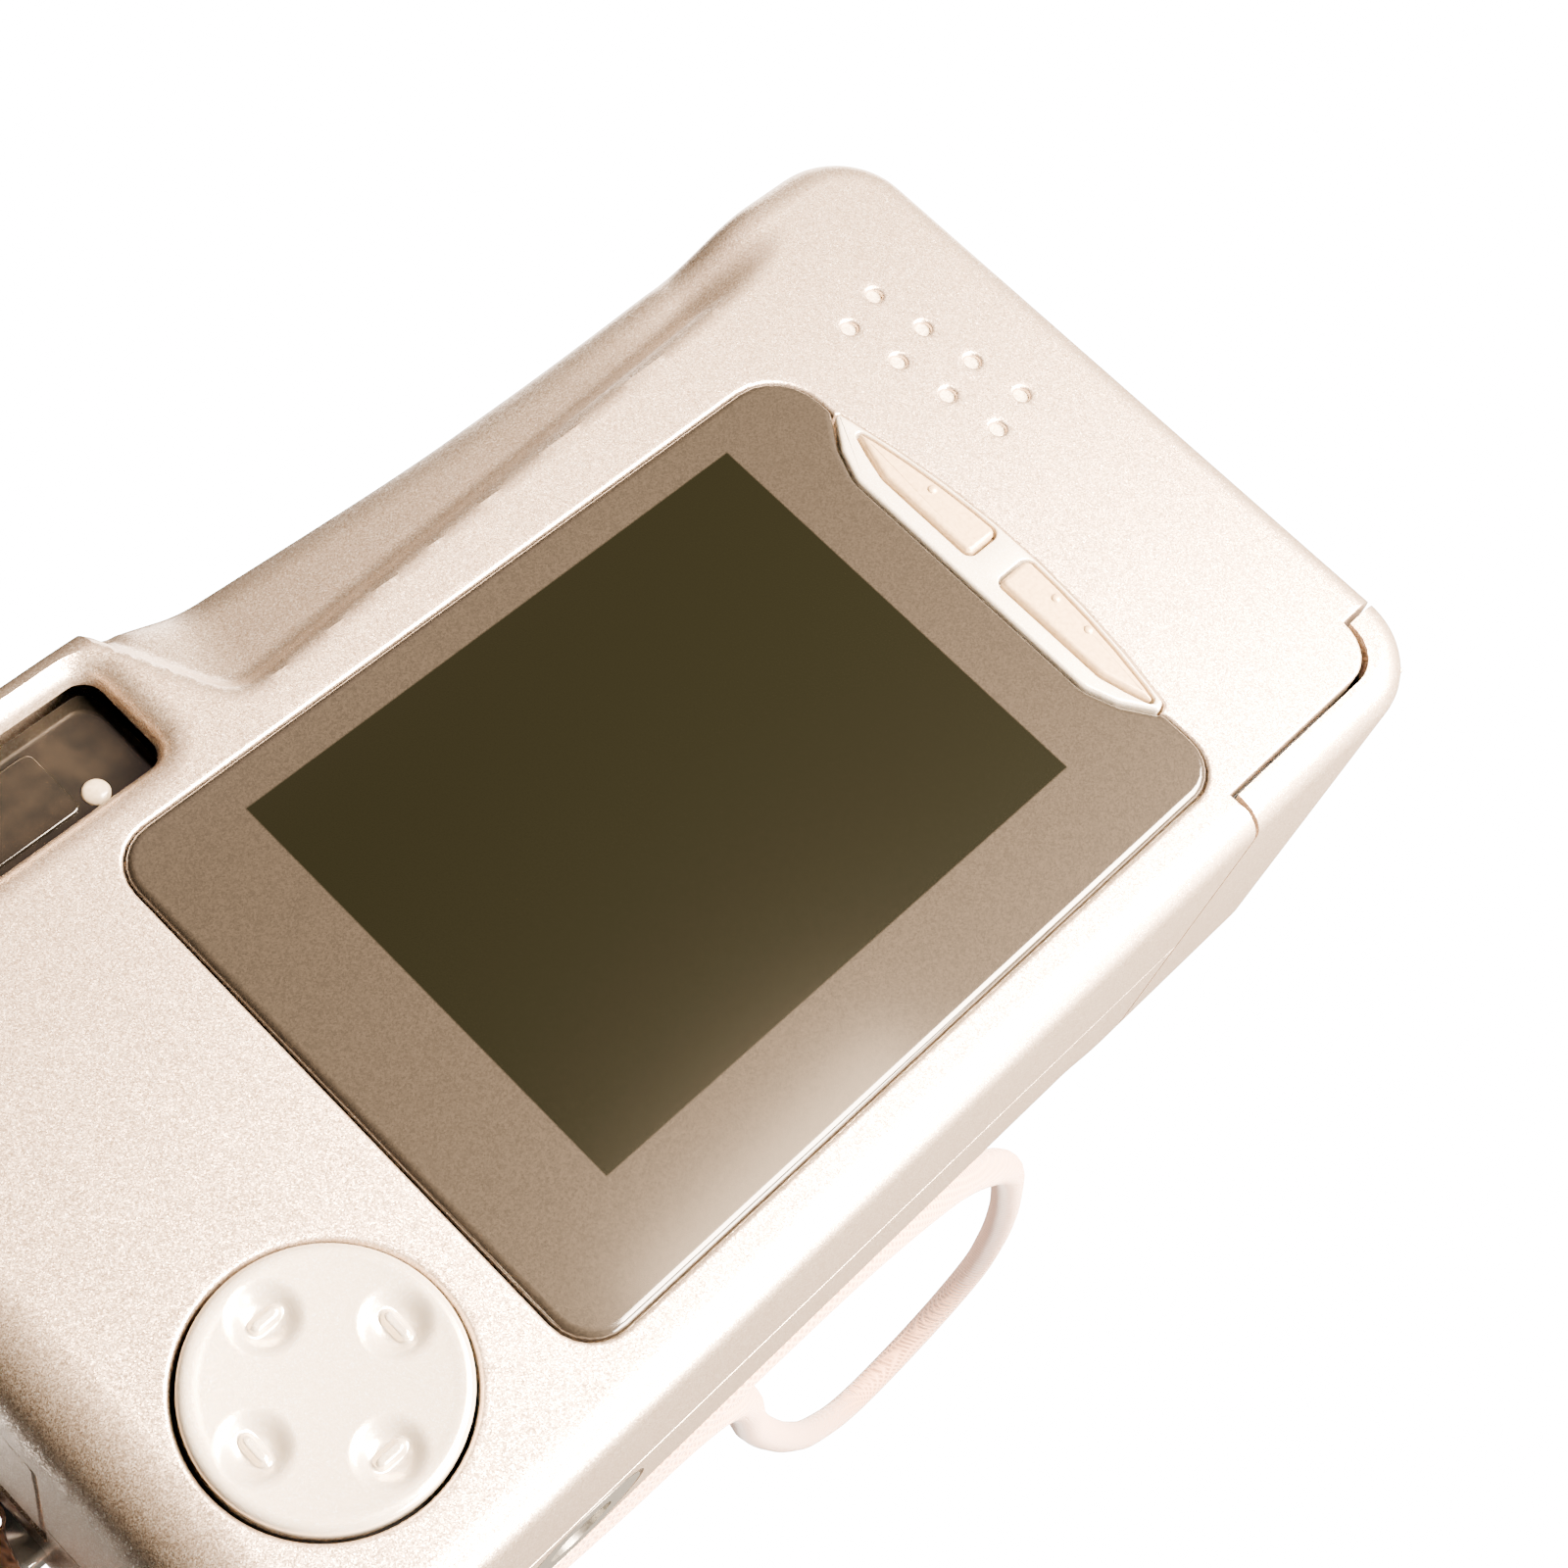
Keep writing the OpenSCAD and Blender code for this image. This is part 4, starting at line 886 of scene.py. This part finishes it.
# %% Strap lug and side cover
lug_line = polygon_outline([(-53.6, 21.0), (-48.8, 21.0), (-48.8, 29.0), (-53.6, 29.0)],
                           [2.4, 0.1, 0.1, 2.4], 9)
lug = lofted("strap_lug_plated", lug_line, rounded_profile(8.2, 10.6, 0.55, 0.55, 6))
hole_profile = [(-0.7, 7.6), (-0.7, 8.2), (-0.3, 8.35), (0, 8.8), (0, 10.0), (-0.3, 10.45),
                (-0.7, 10.6), (-0.7, 11.2)]
boolean(lug, lofted("lug_hole", round_disc(-51.5, 25.2, 1.1, 40), hole_profile))
crisp(lug)
side_line = round_pad(-3.55, 35.0, 13.9, 28.0, 0.6)
side_cover = lofted("side_cover_flap", side_line, rounded_profile(-49.98, -48.9, 0.3, 0.1, 5), "x")
hinge_bead = lofted("side_cover_bead", round_disc(-48.9, 3.4, 1.0, 32),
                    rounded_profile(21.05, 48.95, 0.1, 0.1, 3), "z")
nick = lofted("side_cover_nick", round_pad(-9.6, 35.0, 1.2, 9.0, 0.5),
              rounded_profile(-50.15, -49.6, 0.2, 0.0, 4), "x")
ferrule = lofted("strap_slider", round_pad(22.5, 2.2, 8.0, 4.4, 1.6, per_corner=8),
                 rounded_profile(-38, -29, 0.5, 0.5, 6), "x")
crisp(ferrule)
print("left wall pieces made")


# %% [markdown]
# ## Finishes
#
# Pieces take their finish from one table: the piece, its material, the record's slot, the body it
# moves with and the CAD nodes that it stands for.

# %% Window material
def window_material():
    """Tinted acrylic printed on its back: a dark clear picture area in a warm grey border that glitters."""
    m, tree, shader, where = new_material("smoked_acrylic_back_printed")
    xyz = add(tree, "ShaderNodeSeparateXYZ", links={"Vector": where})

    def inside(socket, centre, half, blur):
        """1 within half of the centre along one axis, falling to 0 over the blur."""
        off = add(tree, "ShaderNodeMath", {"operation": "SUBTRACT"}, links={0: socket}, i1=centre * MM)
        size = add(tree, "ShaderNodeMath", {"operation": "ABSOLUTE"}, links={0: off.outputs[0]})
        edge = add(tree, "ShaderNodeMapRange", links={"Value": size.outputs[0]}, i1=(half - blur) * MM,
                   i2=(half + blur) * MM, i3=1.0, i4=0.0)
        return edge.outputs[0]

    wide = inside(xyz.outputs["X"], 2.65 + SHIFT[0], 20.35, 0.06)
    high = inside(xyz.outputs["Z"], 26.4, 15.25, 0.06)
    picture = add(tree, "ShaderNodeMath", {"operation": "MULTIPLY"}, links={0: wide, 1: high})
    cells = add(tree, "ShaderNodeTexVoronoi", links={"Vector": where}, Scale=1 / (0.11 * MM))
    tone = add(tree, "ShaderNodeSeparateColor", links={"Color": cells.outputs["Color"]})
    border = add(tree, "ShaderNodeMix", {"data_type": "RGBA"}, links={"Factor": tone.outputs[0]})
    border.inputs["A"].default_value, border.inputs["B"].default_value = linear("#1b1814"), linear("#231f1a")
    screen = add(tree, "ShaderNodeMix", {"data_type": "RGBA"},
                 links={"Factor": picture.outputs[0], "A": border.outputs["Result"]})
    screen.inputs["B"].default_value = linear("#050502")
    tree.links.new(screen.outputs["Result"], shader.inputs["Base Color"])
    metal = add(tree, "ShaderNodeMapRange", links={"Value": picture.outputs[0]}, i3=0.35, i4=0.0)
    tree.links.new(metal.outputs[0], shader.inputs["Metallic"])
    rough = add(tree, "ShaderNodeMapRange", links={"Value": picture.outputs[0]}, i3=0.42, i4=0.3)
    tree.links.new(rough.outputs[0], shader.inputs["Roughness"])
    shader.inputs["Specular IOR Level"].default_value = 0.0
    shader.inputs["Coat Weight"].default_value = 1.0
    shader.inputs["Coat Roughness"].default_value = 0.12
    return m


# %% Materials
window_mat = window_material()
satin = metallic_paint("satin_silver_plated_trim", "#d8cdb8", "#f0e6d4", "#ffffff", 0.05, 0.7, 0.28, 0.05)
disc_mat = metallic_paint("disc_silver_lacquer", "#e4d6c0", "#f4e8d4", "#ffffff", 0.06, 0.75, 0.2, 0.04)
key_mat = grained("pale_key_plastic_moulded", "#937d60", "#a58e6e", 0.3, 0.3, 0.3, 0.002)
black_gloss = grained("black_plastic_polished", "#0b0a08", "#14110d", 0.12, 2.0, 0.0, 0.0, 0.03)
black_matt = grained("black_plastic_moulded", "#0f0e0d", "#1b1a18", 0.5, 0.15, 0.0, 0.01)
chrome = grained("chrome_plate_bright", "#c9c6c0", "#dcd9d3", 0.12, 1.5, 1.0, 0.0, 0.05)
steel = grained("steel_plain_drawn", "#9a9892", "#b4b1aa", 0.32, 0.4, 1.0, 0.003, stretch=(1, 6, 1))
gold = grained("spring_bronze_gold_flashed", "#b98a3c", "#d9ad5b", 0.3, 0.3, 1.0, 0.002)
board = grained("circuit_board_green_lacquer", "#12452a", "#1c5c38", 0.35, 0.8, 0.0, 0.01)
white = grained("white_plastic_diffusing", "#dcdad4", "#eceae6", 0.5, 0.4)
sleeve = grained("battery_sleeve_printed_foil", "#a87428", "#c28d3a", 0.3, 1.0, 0.7)
wrap = grained("capacitor_sleeve_shrunk", "#10201f", "#1a2f2d", 0.35, 0.6)
clear = grained("clear_acrylic_moulded", "#dfe5e6", "#f0f4f4", 0.06, 1.0, 0.0, 0.0, 0.02, clear=0.85)
glass = grained("lens_glass_coated", "#8aa0c8", "#a2b6d8", 0.05, 1.0, 0.0, 0.0, 0.02,
                coat=0.6, clear=0.8, ior=1.6)
panel = grained("display_panel_dark", "#17140e", "#201c14", 0.2, 0.5)
amber = grained("amber_lens_moulded", "#b4431a", "#cf5a26", 0.15, 0.6, coat=0.5)
pale_lamp = grained("milky_lamp_moulded", "#8f826c", "#a29580", 0.3, 0.3, coat=0.4)
# The speaker face is black plastic painted pale: a painted highlight that makes the bottoms of the sound
# holes show as bright dots.
hole_highlight_paint = grained("speaker_face_painted_highlight", "#b9ab95", "#efe3cf", 0.35, 0.12, 0.6, 0.02)
print("materials:", len(bpy.data.materials))


def cord_material(name, dark, light, strand_mm):
    """Braided nylon: two sets of strands that wind opposite ways, drawn as two crossing bands of waves."""
    m, tree, shader, where = new_material(name)
    waves = []
    for turn_z in (0.78, -0.78):
        spun = add(tree, "ShaderNodeMapping", links={"Vector": where}, Rotation=(0.4, 0.3, turn_z))
        wave = add(tree, "ShaderNodeTexWave", links={"Vector": spun.outputs[0]}, Scale=0.3 / (strand_mm * MM),
                   Distortion=1.5)
        waves.append(wave.outputs["Fac"])
    weave = add(tree, "ShaderNodeMath", {"operation": "MAXIMUM"}, links={0: waves[0], 1: waves[1]})
    tone = add(tree, "ShaderNodeMix", {"data_type": "RGBA"}, links={"Factor": weave.outputs[0]})
    tone.inputs["A"].default_value, tone.inputs["B"].default_value = linear(dark), linear(light)
    tree.links.new(tone.outputs["Result"], shader.inputs["Base Color"])
    bump = add(tree, "ShaderNodeBump", links={"Height": weave.outputs[0]}, Strength=0.8, Distance=0.15 * MM)
    tree.links.new(bump.outputs[0], shader.inputs["Normal"])
    shader.inputs["Roughness"].default_value = 0.65
    shader.inputs["Sheen Weight"].default_value = 0.3
    return m


braid = cord_material("nylon_braid_round", "#7a5640", "#b98a6c", 0.5)

# %% Which piece is made of what
table = [
    (door_skin, silver, "silver_paint", "door", ["battery_door"]),
    (floor_plate, silver, "silver_paint", "door", []),
    (window, window_mat, "smoked_acrylic", "casing", ["display_window"]),
    (trim, satin, "bright_trim", "casing", ["key_trim"]),
    (mode_key, key_mat, "key_plastic", "mode", ["mode_key"]),
    (set_key, key_mat, "key_plastic", "set", ["set_key"]),
    (disc, disc_mat, "disc_plastic", "disc", ["control_disc"]),
    (well, black_matt, "black_plastic", "casing", []),
    (plate, black_gloss, "gloss_black", "casing", ["eyepiece_plate"]),
    (eye_pane, black_gloss, "clear_plastic", "casing", ["eye_lens"]),
    (lamp, pale_lamp, "lamp_pale", "casing", ["indicator_lamp"]),
    (speaker, hole_highlight_paint, "black_plastic", "casing", ["speaker"]),
    (lens_ring, satin, "bright_trim", "casing", ["lens_ring"]),
    (upper, black_gloss, "gloss_black", "blade_upper", ["barrier_blade_upper"]),
    (lower, black_gloss, "gloss_black", "blade_lower", ["barrier_blade_lower"]),
    (flash, clear, "clear_plastic", "casing", ["flash_window"]),
    (ribs, clear, "clear_plastic", "casing", []),
    (finder_pane, clear, "clear_plastic", "casing", ["finder_front_window"]),
    (timer, amber, "lamp_amber", "casing", ["self_timer_lamp"]),
    (shutter_ring, satin, "bright_trim", "casing", ["shutter_ring"]),
    (shutter, satin, "bright_trim", "shutter", ["shutter_button"]),
    (power, satin, "bright_trim", "power", ["power_button"]),
    (lug, chrome, "chrome_part", "casing", ["strap_lug"]),
    (side_cover, silver, "silver_paint", "side_cover", ["terminal_cover"]),
    (hinge_bead, silver, "silver_paint", "side_cover", []),
    (nick, silver, "silver_paint", "side_cover", []),
    (ferrule, black_gloss, "gloss_black", "casing", ["strap_ferrule"]),
]
for obj, material, slot_name, body, nodes in table:
    put_on(obj, material)
    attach(obj, body)
    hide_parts(*nodes)
for cord in (thin_cord, wrist_cord):
    put_on(cord, braid)

# The CAD pieces that stay in view, or inside, take a material by their slot
by_slot = {
    "silver_paint": silver, "smoked_acrylic": window_mat, "dark_panel": panel, "black_plastic": black_matt,
    "gloss_black": black_gloss, "bright_trim": satin, "key_plastic": key_mat, "disc_plastic": disc_mat,
    "clear_plastic": clear, "optical_glass": glass, "chrome_part": chrome, "steel_part": steel,
    "gold_contact": gold, "board": board, "white_plastic": white, "cell_sleeve": sleeve,
    "capacitor_sleeve": wrap, "lamp_amber": amber, "lamp_pale": pale_lamp, "woven_cord": braid,
}
for part in frame["record"]["subparts"]:
    node = frame["nodes"][part["node"]]
    node.data.materials.clear()
    node.data.materials.append(by_slot[part["material_slot"]])

# %% [markdown]
# ## Table and light
#
# The table is pale, and from underneath it can be seen through, because the viewer stands a little
# below its level.

# %% Table
def table_top():
    """A wide pale sheet just under the base, see-through from below."""
    h = 1.5
    pts = np.array([[-h, -h, -0.00025], [h, -h, -0.00025], [h, h, -0.00025], [-h, h, -0.00025]]) / MM - SHIFT
    floor = link_mesh("table_top", pts, [[0, 1, 2, 3]], False)
    m, tree, shader, where = new_material("pale_card_table")
    grain = add(tree, "ShaderNodeTexNoise", links={"Vector": where}, Scale=400.0)
    tone = add(tree, "ShaderNodeMix", {"data_type": "RGBA"}, links={"Factor": grain.outputs["Fac"]})
    tone.inputs["A"].default_value, tone.inputs["B"].default_value = linear("#f4efe8"), linear("#fbf8f3")
    tree.links.new(tone.outputs["Result"], shader.inputs["Base Color"])
    shader.inputs["Roughness"].default_value = 0.8
    geo = add(tree, "ShaderNodeNewGeometry")
    through = add(tree, "ShaderNodeBsdfTransparent")
    ray = add(tree, "ShaderNodeLightPath")
    above = add(tree, "ShaderNodeMath", {"operation": "SUBTRACT"},
                links={0: ray.outputs["Is Camera Ray"], 1: geo.outputs["Backfacing"]})
    both = add(tree, "ShaderNodeMixShader",
               links={0: above.outputs[0], 1: through.outputs[0], 2: shader.outputs[0]})
    out = [n for n in tree.nodes if n.type == "OUTPUT_MATERIAL"][0]
    tree.links.new(both.outputs[0], out.inputs[0])
    floor.data.materials.append(m)
    return floor


table_top()

# %% World
world = bpy.data.worlds.new("studio")
world.use_nodes = True
scene.world = world
tree = world.node_tree
tree.nodes.clear()
seen = add(tree, "ShaderNodeBackground", Strength=20.0)
seen.inputs["Color"].default_value = (1, 1, 1, 1)
way = add(tree, "ShaderNodeTexCoord")
toward = add(tree, "ShaderNodeVectorMath", {"operation": "DOT_PRODUCT"}, links={0: way.outputs["Generated"]})
toward.inputs[1].default_value = (0.6, 0.0, -0.8)
level = add(tree, "ShaderNodeMapRange", links={"Value": toward.outputs["Value"]},
            i1=-0.4, i2=1.0, i3=0.02, i4=0.6)
room = add(tree, "ShaderNodeBackground", links={"Strength": level.outputs[0]})
room.inputs["Color"].default_value = linear("#f3e6d6")
path_kind = add(tree, "ShaderNodeLightPath")
mix = add(tree, "ShaderNodeMixShader",
          links={0: path_kind.outputs["Is Camera Ray"], 1: room.outputs[0], 2: seen.outputs[0]})
out = add(tree, "ShaderNodeOutputWorld", links={"Surface": mix.outputs[0]})


# %% Lamps
def soft_lamp(name, place, aim, size, watts, color):
    """A square area lamp in millimetres, turned to face a point."""
    data = bpy.data.lights.new(name, "AREA")
    data.shape, data.size, data.energy, data.color = "SQUARE", size * MM, watts, linear(color)[:3]
    obj = bpy.data.objects.new(name, data)
    scene.collection.objects.link(obj)
    p, q = np.array(place) * MM, np.array(aim) * MM
    back = (p - q) / np.linalg.norm(p - q)
    side = np.cross([0, 0, 1.0], back)
    side /= np.linalg.norm(side)
    m = np.eye(4)
    m[:3, 0], m[:3, 1], m[:3, 2], m[:3, 3] = side, np.cross(back, side), back, p
    obj.matrix_world = Matrix(m.tolist())
    return obj


soft_lamp("key", (130, -215, -100), (12, -17, 12), 190, 36, "#ffe8d0")
soft_lamp("under", (40, -60, -220), (8, -5, 0), 120, 8, "#fff0e0")
soft_lamp("glare", (104, -295, 15), (-8, -17, 6), 60, 0.45, "#ffdcb4")
soft_lamp("fill", (60, -260, 260), (0, 0, 30), 240, 0.15, "#ffd8c8")
soft_lamp("rim", (250, 120, 220), (0, 0, 30), 220, 1.2, "#ffeee0")
soft_lamp("front", (-170, 330, 300), (0, 0, 25), 300, 7, "#fff6ee")
print("lamps:", len(bpy.data.lights))

# %% End
print("scene built")
